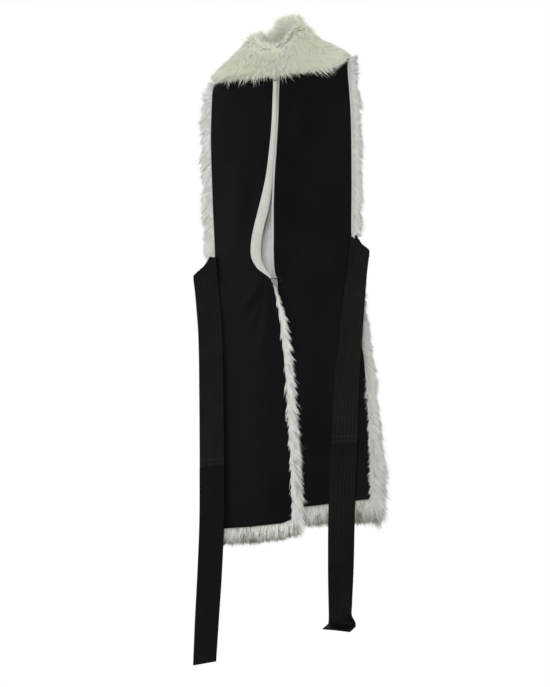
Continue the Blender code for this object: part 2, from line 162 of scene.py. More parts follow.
# Columns: z, front half width, back half width, front swell, back swell
BODY_ROWS = np.array((
    (-0.067, 0.1630, 0.160, 0.0220, 0.022),
    (-0.195, 0.1695, 0.156, 0.0280, 0.030),
    (-0.345, 0.1675, 0.153, 0.0340, 0.036),
    (-0.507, 0.1635, 0.150, 0.0450, 0.030),
    (-0.665, 0.1725, 0.160, 0.0445, 0.038),
    (-0.745, 0.1835, 0.166, 0.0440, 0.042),
    (-0.845, 0.1900, 0.172, 0.0430, 0.044),
    (-0.955, 0.1925, 0.178, 0.0420, 0.046),
    (-1.055, 0.1910, 0.182, 0.0410, 0.048),
))
FRONT_HALF, BACK_HALF, FRONT_SWELL, BACK_SWELL = 1, 2, 3, 4

# Columns: z, left front's inner edge, right front's inner edge, left facing's width, right facing's width
EDGE_ROWS = np.array((
    (-0.115, -0.0060, 0.0095, 0.0085, 0.0045),
    (-0.206, -0.0100, 0.0065, 0.0105, 0.0045),
    (-0.273, -0.0170, 0.0020, 0.0130, 0.0045),
    (-0.329, -0.0255, -0.0020, 0.0160, 0.0050),
    (-0.390, -0.0405, -0.0035, 0.0215, 0.0065),
    (-0.441, -0.0545, -0.0030, 0.0220, 0.0070),
    (-0.475, -0.0605, -0.0025, 0.0220, 0.0075),
    (-0.505, -0.0590, -0.0035, 0.0215, 0.0075),
    (-0.533, -0.0425, -0.0045, 0.0170, 0.0075),
    (-0.548, -0.0255, -0.0030, 0.0110, 0.0065),
    (-0.564, -0.0080, 0.0020, 0.0036, 0.0036),
    (-0.605, 0.0030, 0.0000, 0.0040, 0.0040),
    (-0.685, 0.0140, -0.0060, 0.0040, 0.0040),
    (-0.845, 0.0240, -0.0080, 0.0040, 0.0040),
    (-1.095, 0.0305, -0.0100, 0.0040, 0.0040),
))
EDGE_X = {"left": 1, "right": 2}
FACING_WIDE = {"left": 3, "right": 4}


# %% The body's surface
def smooth(value, start, end):
    """0 at start, 1 at end, smooth between."""
    t = np.clip((np.asarray(value, dtype=float) - start) / (end - start), 0.0, 1.0)
    return t * t * (3 - 2 * t)


def unit(vectors):
    """Vectors brought to a length of 1."""
    return vectors / np.maximum(np.linalg.norm(vectors, axis=-1, keepdims=True), 1e-12)


def table(rows, k, z):
    """A table's column at heights z, on a smooth curve through its rows, which run downwards."""
    heights, values = rows[::-1, 0], rows[::-1, k]
    slopes = np.empty_like(values)
    slopes[1:-1] = (values[2:] - values[:-2]) / (heights[2:] - heights[:-2])
    slopes[0] = (values[1] - values[0]) / (heights[1] - heights[0])
    slopes[-1] = (values[-1] - values[-2]) / (heights[-1] - heights[-2])
    z = np.clip(z, heights[0], heights[-1])
    i = np.clip(np.searchsorted(heights, z) - 1, 0, len(heights) - 2)
    run = heights[i + 1] - heights[i]
    t = (z - heights[i]) / run
    start, end = values[i], values[i + 1]
    bow = (t**3 - 2 * t**2 + t) * slopes[i] + (t**3 - t**2) * slopes[i + 1]
    return start + (3 * t**2 - 2 * t**3) * (end - start) + bow * run


def ridge(x):
    """Height of the shoulder line at x, rounded over the middle of the neck."""
    fall = SHOULDER_DROP / (SHOULDER_HALF - NECK_HALF)
    return fall * (math.hypot(NECK_HALF, RIDGE_ROUND) - np.hypot(x, RIDGE_ROUND))


def half_width(piece, z):
    """Half the width of the front or the back at height z."""
    return table(BODY_ROWS, BACK_HALF if piece == "back" else FRONT_HALF, z)


def wall_depth(piece, x, z):
    """How far a panel stands out from the middle plane, below the shoulder."""
    across = np.clip(1 - (x / half_width(piece, z)) ** 2, 0.0, 1.0)
    depth = SIDE_GAP + table(BODY_ROWS, BACK_SWELL if piece == "back" else FRONT_SWELL, z) * across
    down = smooth(z, *LIFT_Z)
    if piece == "left":
        depth = depth + LIFT * down * smooth(x, *LEFT_LIFT_X)
    if piece == "right":
        depth = depth - LIFT * down * (1 - smooth(x, *RIGHT_LIFT_X))
    return depth


def on_body(piece, x, z, out=0.0):
    """Points of the garment's outer surface, moved outwards by out."""
    x, z, out = np.broadcast_arrays(np.asarray(x, float), np.asarray(z, float), np.asarray(out, float))
    drop = np.clip((ridge(x) + out - z) / (ROOF_DEPTH + out), 0.0, 1.0)
    rounding = np.sqrt(1 - (1 - drop) ** 2)
    depth = np.maximum(SHOULDER_SEAM / 2, (wall_depth(piece, x, z) + out) * rounding)
    return np.stack([x, depth if piece == "back" else -depth, z], axis=-1)


def side_limits(piece, z):
    """The x of a panel's two edges at height z."""
    half = half_width(piece, z)
    if piece == "left":
        return FRONT_SHIFT - half, table(EDGE_ROWS, EDGE_X["left"], z)
    if piece == "right":
        return table(EDGE_ROWS, EDGE_X["right"], z), FRONT_SHIFT + half
    return -half, half


def hem_z(piece, x):
    """Height of a panel's hem at x."""
    middle, side = HEM[piece]
    half = half_width(piece, side)
    level = side + (middle - side) * np.clip(1 - (x / half) ** 2, 0.0, 1.0)
    if piece == "left":
        inner = table(EDGE_ROWS, EDGE_X["left"], middle)
        level = level + HEM_CORNER * smooth(x, inner - HEM_CORNER_WIDE, inner) ** 2
    return level


def grid_normals(points):
    """Unit normals of a grid of points whose rows run down and whose columns run to the right."""
    return unit(np.cross(np.gradient(points, axis=0), np.gradient(points, axis=1)))


def grid_area(points):
    """The area of a grid of points."""
    down = points[1:, :-1] - points[:-1, :-1]
    right = points[:-1, 1:] - points[:-1, :-1]
    return float(np.linalg.norm(np.cross(down, right), axis=-1).sum())


def distance_along(points):
    """How far each point of a row lies from the first, along the row."""
    return np.concatenate([[0.0], np.cumsum(np.linalg.norm(np.diff(points, axis=0), axis=1))])


print("waist", round(float(half_width("left", WAIST_Z)) * 2, 3), "m wide")

# %% [markdown]
# ## Mesh helpers
# A cloth or leather piece is a wall between two grids of points, sewn round the rim, which gives one clean
# closed mesh. Big joined meshes, such as hair, go straight from arrays into Blender.


# %% Meshes from arrays
def add_piece(name, mesh, material, node=None):
    """Link a mesh as a piece of the garment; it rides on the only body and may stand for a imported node."""
    mesh.materials.append(material)
    piece = bpy.data.objects.new(name, mesh)
    scene.collection.objects.link(piece)
    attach(piece, "root")
    if node:
        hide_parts(node)
    return piece


def mesh_from_faces(name, points, faces):
    """A smooth mesh from an array of points and an array of faces."""
    mesh = bpy.data.meshes.new(name)
    mesh.from_pydata(np.asarray(points).reshape(-1, 3).tolist(), [], np.asarray(faces).tolist())
    mesh.shade_smooth()
    return mesh


def wall_mesh(name, front, back, sharp=70):
    """A closed mesh between two grids; front is the side looked at, rows down and columns to the right."""
    rows, cols = front.shape[:2]
    count = rows * cols
    index = np.arange(count).reshape(rows, cols)
    face = np.stack([index[:-1, :-1], index[1:, :-1], index[1:, 1:], index[:-1, 1:]], -1).reshape(-1, 4)
    rim = np.concatenate([index[:, 0], index[-1, 1:], index[-2::-1, -1], index[0, -2:0:-1]])
    after = np.roll(rim, -1)
    side = np.stack([after, rim, rim + count, after + count], -1)
    faces = np.concatenate([face, face[:, ::-1] + count, side])
    mesh = mesh_from_faces(name, np.concatenate([front.reshape(-1, 3), back.reshape(-1, 3)]), faces)
    mesh.set_sharp_from_angle(angle=math.radians(sharp))
    return mesh


def set_tone(mesh, values):
    """The tone of each point, which the fur and the thread finishes read."""
    tone = mesh.attributes.new("tone", "FLOAT", "POINT")
    tone.data.foreach_set("value", np.ravel(values))


def triangle_count(piece):
    """How many triangles a piece has."""
    piece.data.calc_loop_triangles()
    return len(piece.data.loop_triangles)


# %% [markdown]
# ## Finishes
# Each material is a Principled shader with procedural detail: a fine cross weave on the satin, creased grain
# on the leather with patches of painted sheen, a soft nap on the cream skin edges, and strand-to-strand tone
# on the fur, which also carries painted light and shade.


# %% Node helpers
def set_sockets(node, sockets):
    """Set input sockets by name; underscores stand for spaces."""
    for socket, value in sockets.items():
        node.inputs[socket.replace("_", " ")].default_value = value


def new_finish(name, roughness, specular, **sockets):
    """A material with its shader's steady values set on the sockets."""
    made = bpy.data.materials.new(name)
    made.use_nodes = True
    shader = made.node_tree.nodes["Principled BSDF"]
    shader.inputs["Roughness"].default_value = roughness
    shader.inputs["Specular IOR Level"].default_value = specular
    set_sockets(shader, sockets)
    return made, made.node_tree, shader


def add_node(tree, kind, **sockets):
    """A shader node with some input sockets set."""
    node = tree.nodes.new(kind)
    set_sockets(node, sockets)
    return node


def object_space(tree, stretch=(1.0, 1.0, 1.0)):
    """Object coordinates in metres, stretched along each axis."""
    where = tree.nodes.new("ShaderNodeTexCoord")
    shaped = add_node(tree, "ShaderNodeMapping", Scale=stretch)
    tree.links.new(where.outputs["Object"], shaped.inputs["Vector"])
    return shaped.outputs["Vector"]


def noise_of(tree, scale, detail=3.0, stretch=(1.0, 1.0, 1.0)):
    """Cloudy noise in object space."""
    node = add_node(tree, "ShaderNodeTexNoise", Scale=scale, Detail=detail)
    tree.links.new(object_space(tree, stretch), node.inputs["Vector"])
    return node.outputs["Fac"]


def blend_colours(tree, factor, first, second, low=0.0, high=1.0):
    """A colour ramp from first to second as the factor goes from low to high."""
    ramp = tree.nodes.new("ShaderNodeValToRGB")
    ramp.color_ramp.elements[0].position = low
    ramp.color_ramp.elements[1].position = high
    ramp.color_ramp.elements[0].color = (*first, 1.0)
    ramp.color_ramp.elements[1].color = (*second, 1.0)
    tree.links.new(factor, ramp.inputs["Fac"])
    return ramp.outputs["Color"]


def colour_from(tree, shader, factor, first, second, low=0.0, high=1.0):
    """Make the base colour a ramp from first to second."""
    tree.links.new(blend_colours(tree, factor, first, second, low, high), shader.inputs["Base Color"])


def tone_of(tree):
    """The tone that the mesh's points carry."""
    node = tree.nodes.new("ShaderNodeAttribute")
    node.attribute_name = "tone"
    return node.outputs["Fac"]


def bump_from(tree, shader, height, strength, distance, under=None):
    """A bump from a height, on top of another bump if there is one under it."""
    node = add_node(tree, "ShaderNodeBump", Strength=strength, Distance=distance)
    tree.links.new(height, node.inputs["Height"])
    if under:
        tree.links.new(under, node.inputs["Normal"])
    tree.links.new(node.outputs["Normal"], shader.inputs["Normal"])
    return node.outputs["Normal"]


# %% The finishes
def satin_finish():
    """Blue-black crepe satin: nearly no colour, a broad soft sheen and a weave too fine to see from afar."""
    made, tree, shader = new_finish("black_satin", 0.50, 0.034, Sheen_Weight=0.008, Sheen_Roughness=0.6)
    cloud = noise_of(tree, 9.0, 4.0)
    colour_from(tree, shader, cloud, (0.0016, 0.0016, 0.0020), (0.0028, 0.0028, 0.0036), 0.3, 0.7)
    slub = noise_of(tree, 380.0, 2.0, (1.0, 1.0, 0.25))
    first = bump_from(tree, shader, slub, 0.10, 0.0006)
    weave = add_node(tree, "ShaderNodeTexWave", Scale=420.0, Distortion=1.5)
    weave.bands_direction = "DIAGONAL"
    tree.links.new(object_space(tree), weave.inputs["Vector"])
    bump_from(tree, shader, weave.outputs["Fac"], 0.10, 0.0002, first)
    return made


def leather_finish(name, specular, deep, painted_sheen_colour):
    """Black strap leather, a little warm, with a fine pebbled grain, duller patches and patches of painted
    sheen.
    """
    made, tree, shader = new_finish(name, 0.42, specular)
    # The lighter patches in the colour are painted sheen.
    colour_from(tree, shader, noise_of(tree, 24.0, 5.0), deep, painted_sheen_colour, 0.3, 0.75)
    worn = add_node(tree, "ShaderNodeMapRange", To_Min=0.36, To_Max=0.52)
    tree.links.new(noise_of(tree, 60.0, 3.0), worn.inputs["Value"])
    tree.links.new(worn.outputs["Result"], shader.inputs["Roughness"])
    grain = add_node(tree, "ShaderNodeTexVoronoi", Scale=900.0)
    tree.links.new(object_space(tree), grain.inputs["Vector"])
    first = bump_from(tree, shader, grain.outputs["Distance"], 0.22, 0.0003)
    bump_from(tree, shader, noise_of(tree, 130.0, 4.0), 0.16, 0.0008, first)
    return made


def fur_finish(name, deep, tip, stain):
    """Hair or pelt by a tone for each strand that holds painted light and shade, darker and warmer at the
    root, in faintly stained patches.
    """
    made, tree, shader = new_finish(name, 0.72, 0.12, Sheen_Weight=0.06)
    patches = blend_colours(tree, noise_of(tree, 26.0, 3.0), (1.0, 1.0, 1.0), stain, 0.45, 0.75)
    stained = tree.nodes.new("ShaderNodeMix")
    stained.data_type = "RGBA"
    stained.blend_type = "MULTIPLY"
    stained.inputs["Factor"].default_value = 1.0
    tree.links.new(blend_colours(tree, tone_of(tree), deep, tip), stained.inputs["A"])
    tree.links.new(patches, stained.inputs["B"])
    tree.links.new(stained.outputs["Result"], shader.inputs["Base Color"])
    return made


def skin_finish():
    """The cream sheared edge of the skin: smooth, matt and slightly mottled."""
    made, tree, shader = new_finish("cream_skin_edge", 0.62, 0.25, Sheen_Weight=0.12)
    cloud = noise_of(tree, 55.0, 4.0, (1.0, 1.0, 0.35))
    colour_from(tree, shader, cloud, (0.355, 0.370, 0.330), (0.415, 0.432, 0.390), 0.3, 0.7)
    bump_from(tree, shader, noise_of(tree, 700.0, 3.0), 0.15, 0.0005)
    return made


def metal_finish():
    """The blackened wire of the hook and eye, rubbed brighter in places."""
    made, tree, shader = new_finish("blackened_wire", 0.38, 0.5, Metallic=0.8)
    rubbed = noise_of(tree, 900.0, 3.0)
    colour_from(tree, shader, rubbed, (0.015, 0.015, 0.016), (0.07, 0.07, 0.072), 0.45, 0.8)
    return made


SATIN = satin_finish()
LEATHER = leather_finish("black_leather", 0.065, (0.0022, 0.0021, 0.0018), (0.0044, 0.0041, 0.0036))
PLAIN_LEATHER = leather_finish(
    "plain_black_leather", 0.046, (0.0016, 0.0015, 0.0013), (0.0030, 0.0028, 0.0025))
# A fur's deep colour is where its tone is lowest: at the roots and wherever shade is painted.
COLLAR_FUR = fur_finish(
    "collar_ivory_fur", deep=(0.33, 0.325, 0.245), tip=(0.78, 0.79, 0.695), stain=(0.95, 0.93, 0.84))
LINING_FUR = fur_finish(
    "lining_white_fur", deep=(0.16, 0.16, 0.125), tip=(0.90, 0.92, 0.897), stain=(0.96, 0.95, 0.90))
CREAM = skin_finish()
WIRE = metal_finish()
print("finishes:", [m.name for m in (SATIN, LEATHER, PLAIN_LEATHER, COLLAR_FUR, LINING_FUR, CREAM, WIRE)])

# %% [markdown]
# ## The black cloth
# Two fronts and a back are cut from satin. A simulation would move the edges away from the fur and the belt,
# so the cloth is laid on the body's form and its few soft creases are listed one by one: each is a trough or a
# ridge along a line, with a width and a height, dying away at its ends.

# %% Creases, in metres
# Columns: from x, from z, to x, to z, width, height
CREASES = {
    "left": (
        (-0.024, -0.585, -0.080, -0.648, 0.011, -0.0038),
        (-0.020, -0.600, -0.056, -0.690, 0.012, -0.0036),
        (-0.030, -0.575, -0.085, -0.615, 0.012, 0.0032),
        (-0.012, -0.605, -0.035, -0.735, 0.010, 0.0026),
        (-0.090, -0.265, -0.100, -0.465, 0.022, 0.0018),
        (-0.060, -0.745, -0.070, -1.045, 0.028, 0.0022),
        (-0.120, -0.685, -0.118, -1.025, 0.022, -0.0018),
        (-0.040, -0.295, -0.075, -0.445, 0.016, -0.0012),
    ),
    "right": (
        (0.030, -0.155, 0.038, -0.295, 0.014, -0.0032),
        (0.090, -0.195, 0.082, -0.465, 0.026, 0.0016),
        (0.028, -0.575, 0.090, -0.665, 0.016, -0.0018),
        (0.060, -0.685, 0.070, -1.025, 0.026, -0.0024),
        (0.118, -0.605, 0.105, -0.985, 0.024, 0.0018),
    ),
    "back": (
        (-0.070, -0.545, -0.080, -0.985, 0.024, 0.0022),
        (0.030, -0.545, 0.020, -0.965, 0.030, -0.0024),
        (0.090, -0.545, 0.105, -0.945, 0.022, 0.0020),
        (-0.060, -0.185, -0.030, -0.445, 0.026, -0.0020),
        (0.060, -0.205, 0.045, -0.455, 0.024, 0.0018),
    ),
}
# Shares of a crease's line over which it starts and dies away
CREASE_STARTS, CREASE_ENDS = (-0.12, 0.22), (0.55, 1.1)


def crease_height(piece, x, z):
    """How far the cloth's soft creases stand out (or dip in) at each point."""
    height = np.zeros(np.broadcast(x, z).shape)
    for from_x, from_z, to_x, to_z, wide, high in CREASES[piece]:
        run_x, run_z = to_x - from_x, to_z - from_z
        length = math.hypot(run_x, run_z)
        along = ((x - from_x) * run_x + (z - from_z) * run_z) / length**2
        across = ((x - from_x) * run_z - (z - from_z) * run_x) / length
        ends = smooth(along, *CREASE_STARTS) * (1 - smooth(along, *CREASE_ENDS))
        height = height + high * ends * np.exp(-((across / wide) ** 2))
    return height


# %% Rows and columns of a panel
ROOF_ROWS = 10
EDGE_STEPS = (0.0, 0.005, 0.012, 0.024)


def steps_with_edges(count, first=True):
    """Even steps from 0 to 1 with some close ones at the end, and at the start too unless it is a seam."""
    near = np.array(EDGE_STEPS)
    middle = np.linspace(0.05, 0.95, count)
    start = near if first else np.array([0.0, 0.025])
    return np.concatenate([start, middle, (1 - near)[::-1]])


def panel_heights(piece, steps, wall_shares):
    """Heights of each column's rows: from the shoulder or neckline over the roof, then down to the hem."""
    low, high = side_limits(piece, 0.0)
    top_x = low + steps * (high - low)
    deepest = BACK_NECK_DROP if piece == "back" else FRONT_NECK_DROP
    start = deepest * np.clip(1 - (top_x / NECK_HALF) ** 2, 0.0, 1.0) ** 0.8
    roof_end = np.maximum(ROOF_DEPTH, start + 0.02)
    turn = np.linspace(0.0, 1.0, ROOF_ROWS + 1)[:, None]
    share = np.where(start < 1e-6, 1 - np.cos(turn * math.pi / 2), turn)
    roof = ridge(top_x) - (start + (roof_end - start) * share)
    low, high = side_limits(piece, HEM[piece][1])
    lowest = hem_z(piece, low + steps * (high - low))
    wall = roof[-1] + (lowest - roof[-1]) * wall_shares[1:, None]
    return roof, wall, lowest


# %% The cloth panels
CLOTH_THICK = 0.0015
EDGE_ROLL_WIDE = 0.0020
EDGE_ROLL = 0.0007
# What the cut has beyond the panel's length, to turn the hem
HEM_ROOM = 0.03


def cloth_panel(piece, node, columns, name):
    """One cut panel: a thin wall of cloth with its edges turned under."""
    steps = steps_with_edges(columns)
    roof, wall, lowest = panel_heights(piece, steps, steps_with_edges(110, first=False))
    z = np.concatenate([roof, wall])
    low, high = side_limits(piece, z)
    x = low + steps * (high - low)
    inset = np.minimum(np.minimum(x - low, high - x), z - lowest)
    turned = np.clip(1 - inset / EDGE_ROLL_WIDE, 0.0, 1.0)
    out = crease_height(piece, x, z) - EDGE_ROLL * (1 - np.sqrt(1 - turned**2))
    front = on_body(piece, x, z, out)
    if piece == "back":
        front = front[:, ::-1]
    normals = grid_normals(front)
    cloth = add_piece(name, wall_mesh(name, front, front - normals * CLOTH_THICK), SATIN, node)
    wide = float(np.max(high - low))
    long = float(z[0].max() - z[-1].min()) + HEM_ROOM
    print(name, triangle_count(cloth), "triangles, cut", round(wide, 3), "x", round(long, 3), "m")


cloth_panel("left", "front_left_shell", 34, "left_front_cloth")
cloth_panel("right", "front_right_shell", 34, "right_front_cloth")
cloth_panel("back", "back_shell", 56, "back_cloth")

# %% [markdown]
# ## Hair
# Fur has to be real geometry, because the outline of the garment is hair. A strand is a ribbon of two
# segments that tapers to a point. It leaves the skin at an angle, bends along the way the fur is combed, and
# leans towards a neighbour, so that the hair gathers into locks. All strands of a piece are worked out as
# arrays and joined in one mesh. A ribbon is turned, and its normals lean, towards a shading direction, so
# that the fur shades softly. In the lining that is the skin's normal; on the collar it leans to the front or
# to the back.

# %% Strands from arrays
STRAND_ROWS = np.array([0.0, 0.5, 1.0])
STRAND_TRIANGLES = np.array([(0, 1, 3), (0, 3, 2), (2, 3, 4)])
STRANDS_PER_LOCK = 14
STRAND_WIDE = 0.0009
# Shares of the ribbon's width at the root and halfway
STRAND_TAPER = np.array([0.85, 1.0])[None, :, None]
# Spread of lift, length and width from strand to strand, of turning in radians, and of length from lock
# to lock
LIFT_SPREAD = (0.5, 1.5)
LENGTH_SPREAD = (0.72, 1.18)
WIDTH_SPREAD = (0.7, 1.3)
ROLL = 0.9
RAGGED = 0.28
# How fully a gathered strand takes up its leader's direction and length, and how late it closes in on it
LOCK_TURN, LOCK_LENGTH, LOCK_CURVE = 0.8, 0.6, 1.4
# Bend along the comb, back towards the skin, and down
BEND_ALONG, BEND_BACK = 0.20, 0.45
HAIR_FALL = np.array([0.0, 0.0, -0.16])
# Shares of the ribbon's own normal and of the shading direction, which counts less as it points up or down
OWN_NORMAL, SHADE_NORMAL = 0.45, 0.75
SHADE_FADE_Z = (0.95, 0.55)
# Tone from root to tip, two points at each of the first rows, darker at the root as painted shade in the pile,
# and its spread from strand to strand
ROOT_SHADE_CLIMB = np.array([0.12, 0.12, 0.34, 0.34, 0.42])[None, :]
TONE_SPREAD = 0.25


def nearest_leader(roots, leaders):
    """For each root, the number of the strand that leads its lock."""
    tree = KDTree(len(leaders))
    for number, leader in enumerate(leaders):
        tree.insert(roots[leader], number)
    tree.balance()
    return leaders[np.array([tree.find(root)[1] for root in roots])]


def grow_strands(roots, normals, shade, comb, length, lift, gather, tousle, rng):
    """Paths, side vectors and normals of tapering ribbons; gather pulls the tips of a lock together."""
    count = len(roots)
    along = unit(comb - normals * np.sum(comb * normals, axis=1, keepdims=True))
    rise = lift * rng.uniform(*LIFT_SPREAD, count)
    start = along * np.cos(rise)[:, None] + normals * np.sin(rise)[:, None]
    start = unit(start + rng.normal(0.0, 1.0, (count, 3)) * np.broadcast_to(tousle, count)[:, None])
    long = length * rng.uniform(*LENGTH_SPREAD, count)
    lead = nearest_leader(roots, rng.choice(count, max(1, count // STRANDS_PER_LOCK), replace=False))
    hold = np.broadcast_to(gather, count)[:, None]
    long = long * rng.uniform(1 - RAGGED, 1 + 0.7 * RAGGED, count)[lead]
    start = unit(start * (1 - LOCK_TURN * hold) + start[lead] * LOCK_TURN * hold)
    long = long * (1 - LOCK_LENGTH * hold[:, 0]) + long[lead] * LOCK_LENGTH * hold[:, 0]
    bend = along * BEND_ALONG - normals * (BEND_BACK * np.sin(rise))[:, None] + HAIR_FALL
    t = STRAND_ROWS[None, :, None]
    run = long[:, None, None]
    path = roots[:, None] + start[:, None] * run * t + bend[:, None] * run * t**2
    path = path + ((roots[lead] - roots) * hold)[:, None] * t**LOCK_CURVE
    tangent = unit(np.gradient(path, axis=1))
    roll = rng.uniform(-ROLL, ROLL, count)
    across = unit(np.cross(tangent, shade[:, None]))
    face = np.cross(across, tangent)
    across = across * np.cos(roll)[:, None, None] + face * np.sin(roll)[:, None, None]
    width = STRAND_WIDE * rng.uniform(*WIDTH_SPREAD, count)
    upright = smooth(np.abs(shade[:, 2]), *SHADE_FADE_Z)[:, None, None]
    soft = unit(np.cross(across, tangent) * OWN_NORMAL + shade[:, None] * SHADE_NORMAL * upright)
    return path, across * width[:, None, None], soft


def hair_mesh(name, path, across, facing, lighter, rng):
    """One mesh of all the ribbons, with each vertex's tone and a soft normal."""
    count = len(path)
    left = path[:, :2] - across[:, :2] * STRAND_TAPER / 2
    right = path[:, :2] + across[:, :2] * STRAND_TAPER / 2
    points = np.stack([left[:, 0], right[:, 0], left[:, 1], right[:, 1], path[:, 2]], axis=1)
    soft = facing[:, [0, 0, 1, 1, 2]]
    faces = (np.arange(count)[:, None, None] * 5 + STRAND_TRIANGLES).reshape(-1)
    mesh = bpy.data.meshes.new(name)
    mesh.vertices.add(count * 5)
    mesh.vertices.foreach_set("co", points.ravel())
    mesh.loops.add(len(faces))
    mesh.loops.foreach_set("vertex_index", faces.astype(np.int32))
    mesh.polygons.add(count * len(STRAND_TRIANGLES))
    mesh.polygons.foreach_set("loop_start", np.arange(0, len(faces), 3, dtype=np.int32))
    mesh.update(calc_edges=True)
    mesh.shade_smooth()
    mesh.normals_split_custom_set_from_vertices(soft.reshape(-1, 3))
    own = rng.uniform(0.0, TONE_SPREAD, count)[:, None] + np.broadcast_to(lighter, count)[:, None]
    # The climb darkens each strand towards its root: painted shade in the pile.
    set_tone(mesh, own + ROOT_SHADE_CLIMB)
    return mesh


def scatter(points, weights, count, rng):
    """Random places on a grid, as row and column numbers, more where the weight and the area are large."""
    a, b = points[1:, 1:] - points[:-1, :-1], points[1:, :-1] - points[:-1, 1:]
    chance = (np.linalg.norm(np.cross(a, b), axis=-1) * weights).ravel()
    cell = rng.choice(len(chance), count, p=chance / chance.sum())
    row, col = np.divmod(cell, points.shape[1] - 1)
    return row + rng.random(count), col + rng.random(count)


def read_grid(grid, row, col):
    """Values between the points of a grid."""
    r, c = row.astype(int), col.astype(int)
    v, u = row - r, col - c
    if grid.ndim == 3:
        v, u = v[:, None], u[:, None]
    top = grid[r, c] * (1 - u) + grid[r, c + 1] * u
    low = grid[r + 1, c] * (1 - u) + grid[r + 1, c + 1] * u
    return top * (1 - v) + low * v


print("strand:", len(STRAND_TRIANGLES), "triangles")

# %% [markdown]
# ## The fur lining
# Each panel is lined with a pelt whose pile stands out past the cut edges. The pelt is a thick soft wall that
# rounds off to nothing past the edges, about half as far out as the hair reaches. Hair is scattered over its
# inside and, much more densely, over the rounded margin that shows from outside. At the armholes it is combed
# out and down, along the left front's edge it hangs diagonally in locks, and at the hem it falls straight.

# %% How far the fur reaches
# Past each panel's side edge, above and below the belt
SIDE_REACH = {"left": (0.025, 0.006), "right": (0.019, 0.019), "back": (0.008, 0.010)}
# Past the hem, at the panel's left and right
HEM_REACH = {"left": (0.035, 0.034), "right": (0.036, 0.050), "back": (0.034, 0.034)}
EDGE_INSET = 0.003
BELT_WIDE = 0.056
PELT_SHARE = 0.55
PELT_ROOF_START = 3
TUFT_SHARE = 0.24
# Low down, the sides of the right front and the back reach further
LOW_REACH = 0.009
LOW_REACH_Z = (-0.845, -1.000)
# Waves in the sides' reach: height, how often, and how many times the panel's shift
REACH_WAVES = ((0.09, 61, 1), (0.06, 137, 2))
WAVE_SHIFT = {"left": 4, "right": 5, "back": 4}
# How far the left front's edge hair reaches, by distance below the hook
FRONT_REACH_BELOW = (0.0, 0.027, 0.072, 0.117, 0.270, 0.360, 0.520)
FRONT_REACH = (0.0004, 0.0085, 0.0155, 0.0185, 0.0205, 0.022, 0.024)
MARGIN_STEPS = np.array([1.0, 0.93, 0.8, 0.6, 0.4, 0.2])


def pile_reach(piece, z):
    """How far the hair stands past the side edge and past the left front's inner edge at height z."""
    pressed = smooth(np.abs(z - WAIST_Z), 0.35 * BELT_WIDE, 1.0 * BELT_WIDE)
    above, below = SIDE_REACH[piece]
    side = (above + (below - above) * smooth(z, WAIST_Z, WAIST_Z - 0.10)) * pressed
    if piece != "left":
        side = side + LOW_REACH * smooth(z, *LOW_REACH_Z)
    wave = 1
    for high, often, times in REACH_WAVES:
        wave = wave + high * np.sin(z * often + times * WAVE_SHIFT[piece])
    side = side * wave
    front = np.zeros_like(side)
    if piece == "left":
        front = np.interp(HOOK_Z - z, FRONT_REACH_BELOW, FRONT_REACH)
    front = front * smooth(z, HOOK_Z + 0.004, HOOK_Z - 0.010)
    return np.maximum(side, 0.001), front


# %% The pelt
def pelt_columns(columns):
    """Column places: step across the panel, and share of the margin past its left or right edge."""
    inner = np.linspace(0.0, 1.0, columns)
    zero = np.zeros(len(MARGIN_STEPS))
    step = np.concatenate([zero, inner, zero + 1])
    past_low = np.concatenate([MARGIN_STEPS, np.zeros(columns), zero])
    past_high = np.concatenate([zero, np.zeros(columns), MARGIN_STEPS[::-1]])
    return step, past_low, past_high


def pelt_form(piece, columns):
    """Grids of a pelt's front and inside, with how far each point lies past the sides and past the hem."""
    step, past_low, past_high = pelt_columns(columns)
    roof, wall, lowest = panel_heights(piece, step, np.linspace(0.0, 1.0, 70))
    below = MARGIN_STEPS[::-1][:, None]
    roof = roof[PELT_ROOF_START:]
    past_hem = np.concatenate([np.zeros((len(roof) + len(wall), 1)), below])
    z = np.concatenate([roof, wall, np.repeat(wall[-1:], len(below), axis=0)])
    side, front = pile_reach(piece, z)
    low, high = side_limits(piece, z)
    low_reach = side if piece != "right" else np.full_like(side, EDGE_INSET)
    high_reach = side if piece != "left" else np.maximum(front, EDGE_INSET)
    shift_low = 2 * EDGE_INSET if piece == "right" else 0.0
    shift_high = 2 * EDGE_INSET * (1 - smooth(front, 0.0, 0.004)) if piece == "left" else 0.0
    far = np.hypot(past_low + past_high, past_hem)
    fit = 1 / np.maximum(far, 1.0)
    x = low + shift_low + step * (high - shift_high - low - shift_low)
    share_high = TUFT_SHARE if piece == "left" else PELT_SHARE
    x = x + fit * (share_high * high_reach * past_high - PELT_SHARE * low_reach * past_low)
    at_left, at_right = HEM_REACH[piece]
    hem_reach = at_left + (at_right - at_left) * step + np.zeros_like(x)
    z = z - PELT_SHARE * fit * hem_reach * past_hem
    swell = np.sqrt(np.clip(1 - np.minimum(far, 1.0) ** 2, 0.006, 1.0))
    middle = SHELL_THICK + PILE_CLEAR + PILE_THICK / 2
    fold = crease_height(piece, x, z) * (1 - np.minimum(far, 1.0))
    front_side = on_body(piece, x, z, fold - middle + swell * PILE_THICK / 2)
    inside = on_body(piece, x, z, fold - middle - swell * PILE_THICK / 2)
    reach = np.where(past_hem > 0, hem_reach, np.where(past_low > 0, low_reach, high_reach))
    beside = (past_high > 0) & (past_hem == 0)
    reach = reach * (1 - np.where(beside, share_high, PELT_SHARE) * np.minimum(far, 1.0))
    form = {"front": front_side, "inside": inside, "reach": reach}
    for key, share in (("low", past_low), ("high", past_high), ("hem", past_hem)):
        form[key] = np.broadcast_to(share, x.shape) * fit
    return form


# %% The lining's hair
# Up to this share of the margin, a place counts as within the panel's edges
PAST_EDGE = 0.02
